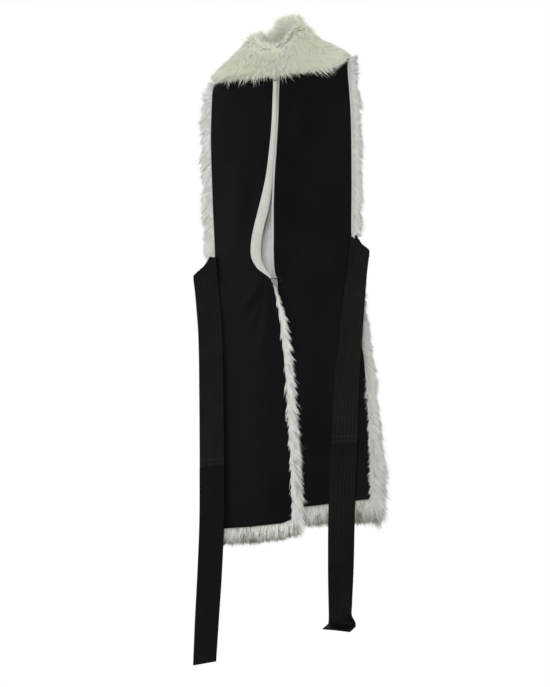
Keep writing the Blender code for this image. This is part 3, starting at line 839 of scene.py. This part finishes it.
# How far sideways the hair is combed at the sides and at the left front's edge, and how much less at the hem
SIDE_COMB, EDGE_COMB, HEM_COMB = 1.15, 0.95, 0.75
# Near the shoulder the hair at the sides is combed up
UP_COMB = 2.8
UP_COMB_Z = (-0.125, -0.080)
INNER_LONG, INNER_LIFT, INNER_GATHER = 0.017, 0.35, 0.45
# Length of the margin's hair as a share of its reach: at the sides, the left front's edge and the hem
SIDE_SHARE, EDGE_SHARE, HEM_SHARE = 1.35, 1.4, 0.78
LEAST_LONG = 0.006
MARGIN_LIFT = 0.38
EDGE_GATHER, HEM_GATHER, SIDE_GATHER = 0.78, 0.66, 0.50
TOUSLE, HEM_TOUSLE = 0.15, 0.26
# Low down, some hair rooted close to the cloth's edge curls forward over the cloth
OVERLAP_FROM = 0.45
OVERLAP_SHARE = 0.5
OVERLAP_LONG = 0.012
OVERLAP_Z = (-0.700, -0.920)
OVERLAP_LIFT = 0.95
# What is added to the hair's tone as painted light and shade: light inside, set panel by panel at the margins,
# and darker further at the hem, where it goes in waves of light and shade between clumps
INNER_LIGHT_TONE = 0.53
# The left front's margin is painted lighter than the right front's and the back's.
MARGIN_LIGHT_TONE = {"left": 0.125, "right": 0.01, "back": 0.01}
# The hem's hair is painted darker, as shade.
HEM_SHADE_TONE = {"left": -0.62, "right": -0.56, "back": -0.50}
# Waves across the hem paint light and shade onto the clumps of hair.
CLUMP_SHADE_TONE, CLUMP_OFTEN = 0.26, 560
CLUMP_DRIFT, DRIFT_OFTEN = 3, 170
# Tone of the skin: painted shade near the margins, to darken the gaps between hairs, and painted light inside
MARGIN_SKIN_SHADE, INNER_SKIN_LIGHT = 0.10, 0.95


def comb_directions(piece, low, high, hem, z):
    """Which way the hair lies: down inside, out and down at the sides, straight down at the hem."""
    sideways = SIDE_COMB * (high - low) / np.maximum(low + high + hem, 0.05)
    if piece == "left":
        sideways = np.where(high > PAST_EDGE, EDGE_COMB * smooth(high, 0.0, 0.5), sideways)
    hanging = smooth(hem, 0.0, 0.4)
    comb = np.zeros((len(low), 3))
    comb[:, 0] = sideways * (1 - HEM_COMB * hanging)
    comb[:, 2] = UP_COMB * smooth(z, *UP_COMB_Z) * (low + high > PAST_EDGE) - 1.0
    return unit(comb)


def margin_style(piece, layer, low, high, hem, reach, comb, z, rng):
    """Length, lift and gather of hair past the edges; some of it is turned to curl over the cloth."""
    past_edges = np.maximum(low + high + hem, PAST_EDGE)
    high_share = EDGE_SHARE if piece == "left" else SIDE_SHARE
    length = reach * (SIDE_SHARE * low + high_share * high + HEM_SHARE * hem) / past_edges
    length = np.maximum(length, LEAST_LONG)
    over = (past_edges < OVERLAP_FROM) & (hem < 0.05) & (layer == "front")
    over &= rng.random(len(z)) < OVERLAP_SHARE * smooth(z, *OVERLAP_Z)
    comb[over, 0] *= -1
    length = np.where(over, OVERLAP_LONG, length)
    lift = np.where(over, OVERLAP_LIFT, MARGIN_LIFT)
    if piece == "left":
        return length, lift, np.where(high > hem, EDGE_GATHER, HEM_GATHER)
    return length, lift, np.where(hem > 0.1, HEM_GATHER, SIDE_GATHER)


def margin_tone(piece, hem, x):
    """What is added to the tone of hair past the edges: painted light and shade."""
    # Light and dark waves stand for the light and shade on the clumps.
    clump_shade = CLUMP_SHADE_TONE * np.sin(x * CLUMP_OFTEN + CLUMP_DRIFT * np.sin(x * DRIFT_OFTEN))
    # The margin's painted light, the hem's painted shade and the clumps' painted light and shade add up here.
    return MARGIN_LIGHT_TONE[piece] + HEM_SHADE_TONE[piece] * smooth(hem, 0.1, 0.6) + clump_shade * smooth(hem, 0.1, 0.5)


def fur_panel(piece, node, columns, margin_count, inner_count, name, seed):
    """The lining pelt of one panel with all its hair."""
    form = pelt_form(piece, columns)
    turn = -1 if piece == "back" else 1
    front, inside = form["front"][:, ::turn], form["inside"][:, ::turn]
    pelt_mesh = wall_mesh(name + "_pelt", front, inside, sharp=180)
    past = form["low"] + form["high"] + form["hem"]
    near = np.pad(past > PAST_EDGE, 1, mode="edge")
    near = near[1:-1, 1:-1] | near[2:, 1:-1] | near[1:-1, 2:] | near[1:-1, :-2]
    # The skin near the margins is painted dark as shade between the hairs; inside it is painted light.
    painted_skin_tone = np.where(near, MARGIN_SKIN_SHADE, INNER_SKIN_LIGHT)[:, ::turn]
    set_tone(pelt_mesh, [painted_skin_tone, painted_skin_tone])
    pelt = add_piece(name + "_pelt", pelt_mesh, LINING_FUR, node)
    rng = np.random.default_rng(seed)
    cells = (past[1:, 1:] + past[:-1, :-1] + past[1:, :-1] + past[:-1, 1:]) / 4
    faced = np.zeros(past.shape, dtype=bool)
    if piece == "right":
        faced = form["low"] > 0
    if piece == "left":
        faced = (form["high"] > 0) & (form["front"][..., 2] > HOOK_Z)
    open_edge = ~(faced[1:, 1:] | faced[:-1, :-1])
    layers = (
        ("front", 1, margin_count // 2, False),
        ("inside", -1, margin_count // 2, False),
        ("inside", -1, inner_count, True),
    )
    strands = []
    for layer, sign, count, inner in layers:
        chosen = cells < PAST_EDGE if inner else (cells > PAST_EDGE) & open_edge
        row, col = scatter(form[layer], chosen.astype(float), count, rng)
        normals = unit(read_grid(grid_normals(form[layer]), row, col)) * sign * turn
        roots = read_grid(form[layer], row, col)
        low, high, hem, reach = (read_grid(form[key], row, col) for key in ("low", "high", "hem", "reach"))
        comb = comb_directions(piece, low, high, hem, roots[:, 2])
        style = np.full(count, INNER_LONG), INNER_LIFT, INNER_GATHER
        # Hair inside the panels is painted lighter.
        tone = np.full(count, INNER_LIGHT_TONE)
        if not inner:
            style = margin_style(piece, layer, low, high, hem, reach, comb, roots[:, 2], rng)
            tone = margin_tone(piece, hem, roots[:, 0])
        grown = grow_strands(roots, normals, normals, comb, *style, TOUSLE + HEM_TOUSLE * hem, rng)
        strands.append((*grown, tone))
    mesh = hair_mesh(name + "_hair", *(np.concatenate(part) for part in zip(*strands)), rng)
    hair = add_piece(name + "_hair", mesh, LINING_FUR, None)
    area = grid_area(form["inside"])
    print(name, triangle_count(pelt), "+", triangle_count(hair), "triangles, area", round(area, 4))


fur_panel("left", "front_left_fur", 26, 48000, 14000, "left_front_fur", 11)
fur_panel("right", "front_right_fur", 26, 40000, 14000, "right_front_fur", 12)
fur_panel("back", "back_fur", 40, 34000, 18000, "back_fur_lining", 13)

# %% [markdown]
# ## The cape collar
# The collar is one fur skin that lies over both shoulders, with a stand that rises behind the neck. Its pelt
# is a loft of closed sections round the neck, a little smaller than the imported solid, because the hair makes
# up the rest. Hair flows from the neck outwards and hangs over the black cloth in fine pointed locks.

# %% The collar's pelt
COLLAR_EDGE_Z = (-0.112, -0.083)
COLLAR_HALF = 0.172
COLLAR_CLEAR = 0.0021
COLLAR_PELT = 0.0085
COLLAR_SHRINK = (0.955, 0.76)
COLLAR_FRONT_SLIT = math.radians(1.2)
COLLAR_NECK_FLARE = 1.16
COLLAR_NECK_W = (0.58, 0.30)
STAND_FRONT = 0.022
STAND_SIDE = 0.008
STAND_PEAK = 0.078
STAND_MIDDLE = 0.003
STAND_SPREAD = 0.043
# The stand comes down in a step on the left, at this share of its height
STAND_STEP = 0.55
STAND_LEAN = 0.016
LEFT_PLUMP = 0.007
LEFT_EDGE_RISE = 0.024
RIGHT_SHRINK = 0.93
COLLAR_AROUND = 150
COLLAR_OUT = 18
# How strongly the sections crowd at the ends over the shoulders, and how square the outline and the peak are
CROWDING = 0.3
SQUARE = 6
# Shares: least height of the lip, rise of the skin at the stand's foot, thickness and rounding of its top
LIP_SHARE, FOOT_SHARE, TOP_SHARE, TOP_ROUND = 0.6, 0.75, 0.7, 0.10
# The collar's skin is painted light, to brighten it where it shows in shade between the hairs.
COLLAR_SKIN_LIGHT = 0.80


def collar_surface(x, w, out):
    """Points over the shoulders: w runs from -1 at the front's lower edge to 1 at the back's."""
    inner = np.clip(x, -SHOULDER_HALF, SHOULDER_HALF)
    hang = np.clip(1 - (x / COLLAR_HALF) ** 2, 0.0, 1.0) ** 0.5
    middle_z, end_z = COLLAR_EDGE_Z
    edge_z = end_z + (middle_z - end_z) * hang + LEFT_EDGE_RISE * smooth(-x, 0.0, 0.13)
    top = ridge(inner) + out
    z = top - np.abs(w) * (top - edge_z)
    y = np.where(w > 0, on_body("back", inner, z, out)[..., 1], on_body("collar", inner, z, out)[..., 1])
    return np.stack([x, y, z], axis=-1)


def rounded_loop(loop):
    """A closed row of points with its corners cut off."""
    after = np.roll(loop, -1, axis=0)
    pairs = np.stack([loop * 0.75 + after * 0.25, loop * 0.25 + after * 0.75], axis=1)
    return pairs.reshape(-1, *loop.shape[1:])


def collar_sections():
    """Closed sections round the neck, from one side of the front slit to the other, with rounded edges."""
    even = np.linspace(COLLAR_FRONT_SLIT, 2 * math.pi - COLLAR_FRONT_SLIT, COLLAR_AROUND)
    angle = even + CROWDING * np.sin(2 * even)
    dx, dw = np.sin(angle), -np.cos(angle)
    square = (dx**SQUARE + dw**SQUARE) ** (1 / SQUARE)
    deep = np.where(dw < 0, COLLAR_NECK_W[0], COLLAR_NECK_W[1])
    t = np.linspace(0.0, 1.0, COLLAR_OUT)[:, None]
    layers = []
    for out, spread in ((COLLAR_CLEAR, 1.0), (COLLAR_CLEAR + COLLAR_PELT, COLLAR_NECK_FLARE)):
        outer_x, outer_w = COLLAR_SHRINK[0] * COLLAR_HALF * dx / square, COLLAR_SHRINK[1] * dw / square
        outer_x = np.where(dx > 0, RIGHT_SHRINK, 1.0) * outer_x
        x = outer_x + (NECK_HALF * spread * dx - outer_x) * t
        w = outer_w + (deep * spread * dw - outer_w) * t
        plump = LEFT_PLUMP * smooth(-x, 0.0, 0.15) if spread > 1.0 else 0.0
        layers.append(collar_surface(x, w, out + plump))
    under, over = layers
    beside = smooth(dw, -0.8, 0.1)
    low_rise = STAND_FRONT + (STAND_SIDE - STAND_FRONT) * beside
    from_middle = (under[-1][:, 0] - STAND_MIDDLE) / STAND_SPREAD
    peak = smooth(dw, -0.25, 0.25) * np.exp(-(from_middle**SQUARE))
    behind = np.maximum(peak, STAND_STEP * smooth(dw, 0.0, 0.5) * smooth(-dx, 0.0, 0.6))
    rise = low_rise + (STAND_PEAK - STAND_SIDE) * behind
    lip = np.maximum(over[-1][:, 2] - under[-1][:, 2], LIP_SHARE * COLLAR_PELT)
    over[..., 2] += FOOT_SHARE * low_rise * smooth(t, 0.5, 1.0)
    lean_x, lean_w = -dx * STAND_LEAN * behind, -dw * STAND_LEAN * behind
    inner_top = under[-1] + np.stack([lean_x, lean_w, lip + rise], axis=-1)
    outer_top = inner_top + (over[-1] - under[-1]) * np.array([TOP_SHARE, TOP_SHARE, 0.0])
    outer_top[:, 2] -= TOP_ROUND * rise
    climb = np.linspace(0.2, 0.8, 4)[:, None, None]
    inside_stand = under[-1] + (inner_top - under[-1]) * climb
    outside_stand = outer_top + (over[-1] - outer_top) * climb
    loop = np.concatenate([under, inside_stand, inner_top[None], outer_top[None], outside_stand, over[::-1]])
    return rounded_loop(loop)


collar_loop = collar_sections()
ring, around = collar_loop.shape[:2]
number = np.arange(ring * around).reshape(ring, around)
after = np.roll(number, -1, axis=0)
cell_corners = (number[:, :-1], after[:, :-1], after[:, 1:], number[:, 1:])
collar_faces = np.stack(cell_corners, -1).reshape(-1, 4).tolist()
collar_faces += [number[:, 0][::-1].tolist(), number[:, -1].tolist()]
collar_mesh = bpy.data.meshes.new("collar_pelt")
collar_mesh.from_pydata(collar_loop.reshape(-1, 3).tolist(), [], collar_faces)
collar_mesh.shade_smooth()
# The collar's skin is painted light.
set_tone(collar_mesh, np.full(len(collar_mesh.vertices), COLLAR_SKIN_LIGHT))
collar_pelt = add_piece("collar_pelt", collar_mesh, COLLAR_FUR, "collar_fur")
print("collar pelt:", triangle_count(collar_pelt), "triangles")

# %% The collar's hair
COLLAR_STRANDS = 62000
COLLAR_HAIR_LONG = 0.021
STAND_HAIR_LONG = 0.027
# What the ragged lower edge adds to the length at most, and what the ends over the shoulders take away
RAGGED_EDGE, SHORT_END = 0.016, 0.007
# Rows of the loop: the last hidden one underneath, the rim of the stand, and those near the lower edge
UNDER_END = 2 * COLLAR_OUT - 3
RIM_ROW = 2 * (COLLAR_OUT + 5)
EDGE_BAND, EDGE_WRAP = 14, 4
STAND_DENSE, EDGE_DENSE = 1.6, 1.5
# Lift, gather and tousle: usual, and what the neck adds or the lower edge takes away
COLLAR_LIFT, NECK_LIFT, EDGE_LIFT = 0.58, 0.5, 0.25
COLLAR_GATHER, EDGE_LOOSE = 0.42, 0.10
COLLAR_TOUSLE, NECK_TOUSLE = 0.24, 0.10
# Combing: up on the rim and in the stand, a little down everywhere, up and out at the ends, in over the slit
RIM_UP, STAND_UP, COMB_DOWN = 1.1, 0.7, 0.35
END_UP, END_OUT, SLIT_IN = 0.70, 0.8, 0.8
# Painted light added to the hair's tone: outside the stand, and on the rim and the shoulder ridge
OUTSIDE_LIGHT_TONE, RIDGE_LIGHT_TONE = 0.12, 0.30
END_X = (0.115, 0.150)
NECK_OVAL = (0.058, 0.046)
RIDGE_SPREAD = 0.016
SLIT_SPREAD = 0.012
# Hair on the rim stands up near the middle and no more beyond these distances from it
PLUME_X = (0.032, 0.050)
# How far the shading direction leans to the front or the back
SHADE_LEAN = np.array([0.0, 1.4, 0.0])
# Hair inside the stand or rooted before this y shades as hair of the front, the rest as hair of the back
SHOULDER_TURN = 0.030


def collar_weights():
    """How densely the hair is set: none underneath, more on the stand and near the lower edge."""
    section = np.arange(ring)
    showing = np.where((section > UNDER_END) | (section < EDGE_WRAP), 1.0, 0.0)
    on_stand = (section > UNDER_END + 1) & (section < 2 * COLLAR_OUT + 20)
    showing = showing * np.where(on_stand, STAND_DENSE, 1.0)
    showing = showing * np.where(section > ring - EDGE_BAND, EDGE_DENSE, 1.0)
    return np.repeat(showing[:, None], around - 1, axis=1)


def collar_hair():
    """Hair over the collar's top and stand, combed from the neck out to the edge."""
    rng = np.random.default_rng(21)
    grid = np.concatenate([collar_loop, collar_loop[:1]])
    row, col = scatter(grid, collar_weights(), COLLAR_STRANDS, rng)
    roots = read_grid(grid, row, col)
    x, y = roots[:, 0], roots[:, 1]
    facing = unit(read_grid(grid_normals(grid), row, col))
    inside = row < RIM_ROW
    at_rim = np.exp(-(((row - RIM_ROW) / 6) ** 2))
    on_ridge = np.exp(-((y / RIDGE_SPREAD) ** 2)) * ~inside
    at_slit = np.exp(-((x / SLIT_SPREAD) ** 2)) * (y < 0) * ~inside
    at_end = smooth(np.abs(x), *END_X)
    near_neck = 1 - smooth(np.hypot(x / NECK_OVAL[0], y / NECK_OVAL[1]), 0.9, 1.9)
    near_edge = np.maximum(smooth(row, ring - EDGE_BAND, ring - 3), row < EDGE_WRAP)
    comb = unit(read_grid(np.gradient(grid, axis=0), row, col))
    plume = RIM_UP * at_rim * (1 - smooth(np.abs(x), *PLUME_X))
    comb[:, 2] += plume + STAND_UP * inside - COMB_DOWN + END_UP * at_end
    comb[:, 0] += END_OUT * at_end * np.sign(x)
    comb[:, 0] -= SLIT_IN * np.sign(x) * at_slit
    lift = COLLAR_LIFT + NECK_LIFT * near_neck - EDGE_LIFT * near_edge
    ragged = RAGGED_EDGE * near_edge * (1 - at_end) * rng.uniform(-0.5, 1.0, COLLAR_STRANDS)
    length = np.where(inside, STAND_HAIR_LONG, COLLAR_HAIR_LONG + ragged - SHORT_END * at_end)
    gather = COLLAR_GATHER - EDGE_LOOSE * near_edge
    tousle = COLLAR_TOUSLE + NECK_TOUSLE * near_neck
    in_front = (y < SHOULDER_TURN) | (row < RIM_ROW + 4)
    shade = unit(facing + np.where(in_front, -1.0, 1.0)[:, None] * SHADE_LEAN)
    path, across, soft = grow_strands(roots, facing, shade, comb, length, lift, gather, tousle, rng)
    # The hair outside the stand and along the rim and ridge is painted lighter.
    lighter = np.where(inside, 0.0, OUTSIDE_LIGHT_TONE) + RIDGE_LIGHT_TONE * np.maximum(at_rim, on_ridge)
    mesh = hair_mesh("collar_hair", path, across, soft, lighter, rng)
    return add_piece("collar_hair", mesh, COLLAR_FUR, None)


collar_top = collar_hair()
collar_area = sum(face.area for face in collar_pelt.data.polygons) / 2
print("collar hair:", triangle_count(collar_top), "triangles, skin", round(collar_area, 4), "square metres")

# %% [markdown]
# ## Cream skin edges
# Where the fronts gape, the skin is sheared and turned to the outside as a smooth cream facing. It swells a
# little beside the black edge, lies smooth, and rolls back into the opening. A narrow edge of the same skin
# shows along the armholes.

# %% Facings and armhole edges
FACING_CLEAR = 0.0009
FACING_THICK = 0.0018
ARMHOLE_EDGE_WIDE = 0.0026
SEAM_GAP = 0.0003
# Where the facings and the armhole edges start, under the collar's hair
FACING_TOP, ARMHOLE_TOP = -0.103, -0.105
# The facing lies this far below the cloth, swells beside it and rolls back
FACING_SINK = 0.0004
BEAD_HIGH, BEAD_WIDE = 0.0012, 0.0016
ROLL_DEEP, ROLL_CURVE = 0.42, 2.4
# The armhole edge lies deeper, rolls less and is thinner
ARMHOLE_SINK, ARMHOLE_ROLL = 0.0010, 0.0012
ARMHOLE_THIN = 0.7


def skin_edge(name, front, turned, thick, node):
    """A strip of skin behind a grid of points, whose columns are turned round if they run to the left."""
    if turned:
        front = front[:, ::-1]
    back = front - grid_normals(front) * thick
    made = add_piece(name, wall_mesh(name, front, back), CREAM, node)
    print(name, triangle_count(made), "triangles")
    return made


def facing_piece(piece, node):
    """The facing along one front's gaping edge."""
    share = np.linspace(0.0, 1.0, 16)[None, :]
    z = np.linspace(FACING_TOP, HOOK_Z + 0.003, 100)[:, None]
    start = table(EDGE_ROWS, EDGE_X[piece], z)
    wide = table(EDGE_ROWS, FACING_WIDE[piece], z) - FACING_CLEAR
    sign = 1 if piece == "left" else -1
    x = start + sign * (FACING_CLEAR + wide * share)
    front = on_body(piece, x, z)
    bead = BEAD_HIGH * np.exp(-((wide * share / BEAD_WIDE) ** 2))
    front[..., 1] += FACING_SINK + ROLL_DEEP * wide * share**ROLL_CURVE - bead
    made = skin_edge(f"{piece}_facing", front, sign < 0, FACING_THICK, node)


def armhole_edge(side, view):
    """The skin's narrow edge beside one armhole of the front or the back."""
    sign = -1 if side == "left" else 1
    piece = "back" if view == "back" else side
    share = np.linspace(0.0, 1.0, 7)[None, :]
    z = np.linspace(ARMHOLE_TOP, WAIST_Z + 0.5 * BELT_WIDE + 0.008, 60)[:, None]
    half = half_width(piece, z)
    middle = 0.0 if view == "back" else FRONT_SHIFT
    x = middle + sign * (half + SEAM_GAP + ARMHOLE_EDGE_WIDE * share)
    front = on_body(piece, x, z, -ARMHOLE_SINK - ARMHOLE_ROLL * share**2)
    turned = (sign < 0) == (view == "front")
    name = f"armhole_edge_{view}_{side}"
    skin_edge(name, front, turned, FACING_THICK * ARMHOLE_THIN, f"armhole_tape_{view}_{side}")


facing_piece("left", "facing_left")
facing_piece("right", "facing_right")
for side in ("left", "right"):
    for view in ("front", "back"):
        armhole_edge(side, view)

# %% [markdown]
# ## The belt
# A strap of black leather crosses the back, comes round the sides, folds down at a slant and hangs as two
# ties. Rows of stitching quilt it into lengthwise channels, which are modelled as soft ridges. Each tie is
# two lengths joined by a cross seam; below it the channels are pressed nearly flat.

# %% Belt sizes and routes
CHANNELS = 7
CHANNEL_STEPS = 8
CHANNEL_CURVE = 0.55
CHANNEL_RISE = 0.0012
FLAT_RISE = 0.0003
FOLD_RUN = 0.044
SEAM_Z = {"left": -0.957, "right": -0.939}
TAB_LONG = 0.033
TAB_ANGLE = math.radians(65)
FOLD_ROUND = 0.0024
# How far the strap's lower corner stays hidden behind the fold
FOLD_HIDE = 0.006
END_SLANT = {"left": 0.004, "right": 0.009}
# The fold's roll is lower at the strap's edges: to this share, over this share of the width
FOLD_END, FOLD_END_WIDE = 0.25, 0.14
# Room between the strap and the widest cloth under it
BACK_CLEAR = 0.0008
# How deep the strap's edges round off, and over what share of its width
EDGE_DIP = 0.0006
EDGE_DIP_WIDE = 0.035

# Columns: z, x, y, turn of the outer edge in degrees
TIE_ROWS = {
    "left": np.array((
        (-0.479, -0.1862, -0.0332, 14),
        (-0.525, -0.1812, -0.0363, 14),
        (-0.575, -0.1745, -0.0408, 11),
        (-0.665, -0.1665, -0.0465, 8),
        (-0.795, -0.1635, -0.0515, 8),
        (-0.945, -0.1635, -0.0535, 8),
        (-1.075, -0.1645, -0.0565, 6),
        (-1.195, -0.1680, -0.0640, 4),
        (-1.285, -0.1710, -0.0725, 0),
        (-1.381, -0.1745, -0.0800, -6),
    )),
    "right": np.array((
        (-0.479, 0.1870, -0.0332, 14),
        (-0.525, 0.1830, -0.0365, 14),
        (-0.575, 0.1780, -0.0422, 14),
        (-0.665, 0.1680, -0.0465, 8),
        (-0.795, 0.1545, -0.0515, -4),
        (-0.935, 0.1470, -0.0560, -12),
        (-1.075, 0.1395, -0.0610, -14),
        (-1.195, 0.1360, -0.0660, -5),
        (-1.285, 0.1345, -0.0725, 9),
        (-1.308, 0.1345, -0.0735, 9),
        (-1.322, 0.1395, -0.0745, -14),
    )),
}
# Where the strap goes in plan after it leaves the back, ending past the fold
SIDE_ROUTE = ((0.1600, 0.0200), (0.1670, 0.0080), (0.1680, -0.0080), (0.1690, -0.0190))
FOLD_ROUTE = ((0.1740, -0.0263), (0.1860, -0.0311), (0.2400, -0.0509))


def channel_profile(across, rise):
    """Height of the quilted channels across the strap, dipping at stitch lines and rounded at the edges."""
    quilt = np.abs(np.sin(np.pi * CHANNELS * across)) ** CHANNEL_CURVE
    edge = smooth(np.minimum(across, 1 - across), 0.0, EDGE_DIP_WIDE)
    return rise * quilt - EDGE_DIP * (1 - edge)


def tie_point(side, across, z):
    """Points of a tie's front face; across runs from 0 at its inner edge to 1 at its outer edge."""
    sign = -1 if side == "left" else 1
    turn = np.radians(table(TIE_ROWS[side], 3, z))
    out = BELT_WIDE * (across - 0.5)
    x = table(TIE_ROWS[side], 1, z) + sign * out * np.cos(turn)
    y = table(TIE_ROWS[side], 2, z) - out * np.sin(turn)
    return np.stack(np.broadcast_arrays(x, y, z), axis=-1)


# %% Ties
ACROSS = np.linspace(0.0, 1.0, CHANNELS * CHANNEL_STEPS + 1)[None, :]
STITCH_LINES = CHANNEL_STEPS * np.arange(1, CHANNELS)
STITCH_STEP = 0.0050
STITCH_LONG = 0.0034
STITCH_WIDE = 0.0007
stitches = []


def read_row(at, far, values):
    """Values between the points of a row, at given distances along it."""
    return np.stack([np.interp(at, far, values[:, k]) for k in range(3)], axis=-1)


def stitch_row(points, normals, tone):
    """Add stitches along a row of points: centre, direction and normal of each, and its thread's tone."""
    far = distance_along(points)
    at = np.arange(STITCH_STEP / 2, far[-1], STITCH_STEP)
    centre = read_row(at, far, points)
    run = read_row(at + 0.0005, far, points) - centre
    stitches.append((centre, unit(run + 1e-9), unit(read_row(at, far, normals)), np.full(len(at), tone)))


def strap_piece(name, face, rise, node, leather=LEATHER):
    """A leather strap: quilted on its face, smooth behind, one closed wall, with a stitch row in each dip."""
    normals = grid_normals(face)
    quilt = channel_profile(ACROSS, rise)[..., None]
    front = face + normals * (quilt - rise)
    back = face - normals * BELT_THICK
    made = add_piece(name, wall_mesh(name, front, back), leather, node)
    for line in STITCH_LINES:
        stitch_row(front[:, line], normals[:, line], 0.0)
    run = distance_along(face[:, face.shape[1] // 2])[-1]
    print(name, triangle_count(made), "triangles,", round(float(run), 3), "m long")
    return front


def tie_pieces(side):
    """The upper and lower lengths of one tie; the upper one rolls over at the belt's slanting fold."""
    flip = slice(None, None, -1) if side == "left" else slice(None)
    seam = SEAM_Z[side]
    top = WAIST_Z + BELT_WIDE / 2 - FOLD_RUN * ACROSS
    share = np.linspace(0.0, 1.0, 90)[:, None]
    face = tie_point(side, ACROSS, top + (seam + SEAM_GAP / 2 - top) * share)
    slant = unit(face[0, -1] - face[0, 0])
    behind = unit(np.cross(face[0, -1] - face[0, 0], face[1, 0] - face[0, 0]))
    behind = behind * np.sign(behind[1])
    above = unit(np.cross(slant, behind))
    above = above * np.sign(above[2])
    from_edge = np.minimum(ACROSS[0], 1 - ACROSS[0])[:, None]
    ends = FOLD_END + (1 - FOLD_END) * smooth(from_edge, 0.0, FOLD_END_WIDE)
    rolls = []
    for degrees in (150, 120, 90, 60, 30):
        bow = math.radians(degrees)
        over = above * ends * FOLD_ROUND * math.sin(bow)
        rolls.append(face[0] + over + behind * FOLD_ROUND * (1 - math.cos(bow)))
    upper = np.concatenate([np.array(rolls), face])[:, flip]
    front = strap_piece(f"{side}_tie_upper", upper, CHANNEL_RISE, f"tie_{side}_upper")
    for row in (-2, -4):
        stitch_row(front[row], grid_normals(front)[row], 1.0)
    end = TIE_ROWS[side][-1, 0]
    bottom = end - END_SLANT[side] * (ACROSS - 0.5)
    face = tie_point(side, ACROSS, seam - SEAM_GAP / 2 + (bottom - seam + SEAM_GAP / 2) * share)
    if side == "right":
        tip = np.array([0.0, -math.sin(TAB_ANGLE), -math.cos(TAB_ANGLE)]) * TAB_LONG
        reach = np.linspace(0.0, 1.0, 14)[1:, None, None]
        face = np.concatenate([face, face[-1] + tip * reach])
    strap_piece(f"{side}_tie_lower", face[:, flip], FLAT_RISE, f"tie_{side}_lower", PLAIN_LEATHER)


tie_pieces("left")
tie_pieces("right")


# %% The strap across the back
def back_strap():
    """The belt behind: it follows the back, comes round the sides and stops at the slanting folds."""
    half = float(half_width("back", WAIST_Z))
    heights = WAIST_Z + BELT_WIDE * np.array([-0.8, -0.4, 0.0, 0.4, 0.8])
    plan = []
    for x in np.linspace(0.0, half, 9):
        plan.append((x, float(np.max(wall_depth("back", x, heights))) + SEAM_GAP + BACK_CLEAR))
    plan = np.array(plan + list(SIDE_ROUTE) + list(FOLD_ROUTE))
    far = distance_along(plan)
    to_fold = far[-3]
    share = np.linspace(1.0, -1.0, 101)[None, :]
    rise = np.linspace(1.0, 0.0, CHANNELS * CHANNEL_STEPS + 1)[:, None]
    reach = np.abs(share) * (to_fold + (FOLD_RUN - FOLD_HIDE) * (1 - rise))
    x = np.interp(reach, far, plan[:, 0]) * np.sign(share)
    y = np.interp(reach, far, plan[:, 1])
    inner = np.stack(np.broadcast_arrays(x, y, WAIST_Z + BELT_WIDE * (rise - 0.5)), axis=-1)
    normals = grid_normals(inner)
    quilt = channel_profile(rise, CHANNEL_RISE)[..., None]
    front = inner + normals * (BELT_THICK + quilt - CHANNEL_RISE)
    made = add_piece("back_strap", wall_mesh("back_strap", front, inner), LEATHER, "belt_back")
    for line in STITCH_LINES:
        stitch_row(front[line], normals[line], 0.0)
    print("back strap:", triangle_count(made), "triangles,", round(2 * to_fold + FOLD_RUN, 3), "m long")


back_strap()

# %% [markdown]
# ### Stitches
# Each stitch is a slim eight-sided bead of thread, sunk halfway into the leather. The rows along the channels
# are sewn in black; the two rows across each seam are a shade lighter. All of them are one joined mesh.


# %% Thread
def thread_finish():
    """Waxed thread, from black to grey by the stitch's tone."""
    made, tree, shader = new_finish("belt_thread", 0.55, 0.2)
    colour_from(tree, shader, tone_of(tree), (0.010, 0.010, 0.009), (0.060, 0.060, 0.055))
    return made


def thread_mesh(name):
    """All stitches joined: six points and eight triangles each."""
    centre, run, facing, tone = (np.concatenate(part) for part in zip(*stitches))
    side = np.cross(run, facing)
    long, wide = run * STITCH_LONG / 2, side * STITCH_WIDE / 2
    arms = (long, wide, -long, -wide, facing * STITCH_WIDE * 0.5, -facing * STITCH_WIDE * 0.4)
    points = np.stack([centre + arm for arm in arms], 1)
    above = [(k, (k + 1) % 4, 4) for k in range(4)]
    below = [((k + 1) % 4, k, 5) for k in range(4)]
    bead = np.array(above + below)[:, ::-1]
    faces = (np.arange(len(centre))[:, None, None] * 6 + bead).reshape(-1, 3)
    mesh = mesh_from_faces(name, points, faces)
    set_tone(mesh, np.repeat(tone, 6))
    return mesh


belt_stitches = add_piece("belt_stitches", thread_mesh("belt_stitches"), thread_finish(), None)
print("stitches:", sum(len(row[0]) for row in stitches), "of", triangle_count(belt_stitches), "triangles")

# %% [markdown]
# ## Hook and eye
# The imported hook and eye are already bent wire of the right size, so they stay and only get their finish.

# %% Finish the wire
for name in ("hook", "eye"):
    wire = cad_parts[name]
    wire.data.materials.clear()
    wire.data.materials.append(WIRE)
print("hook and eye finished")
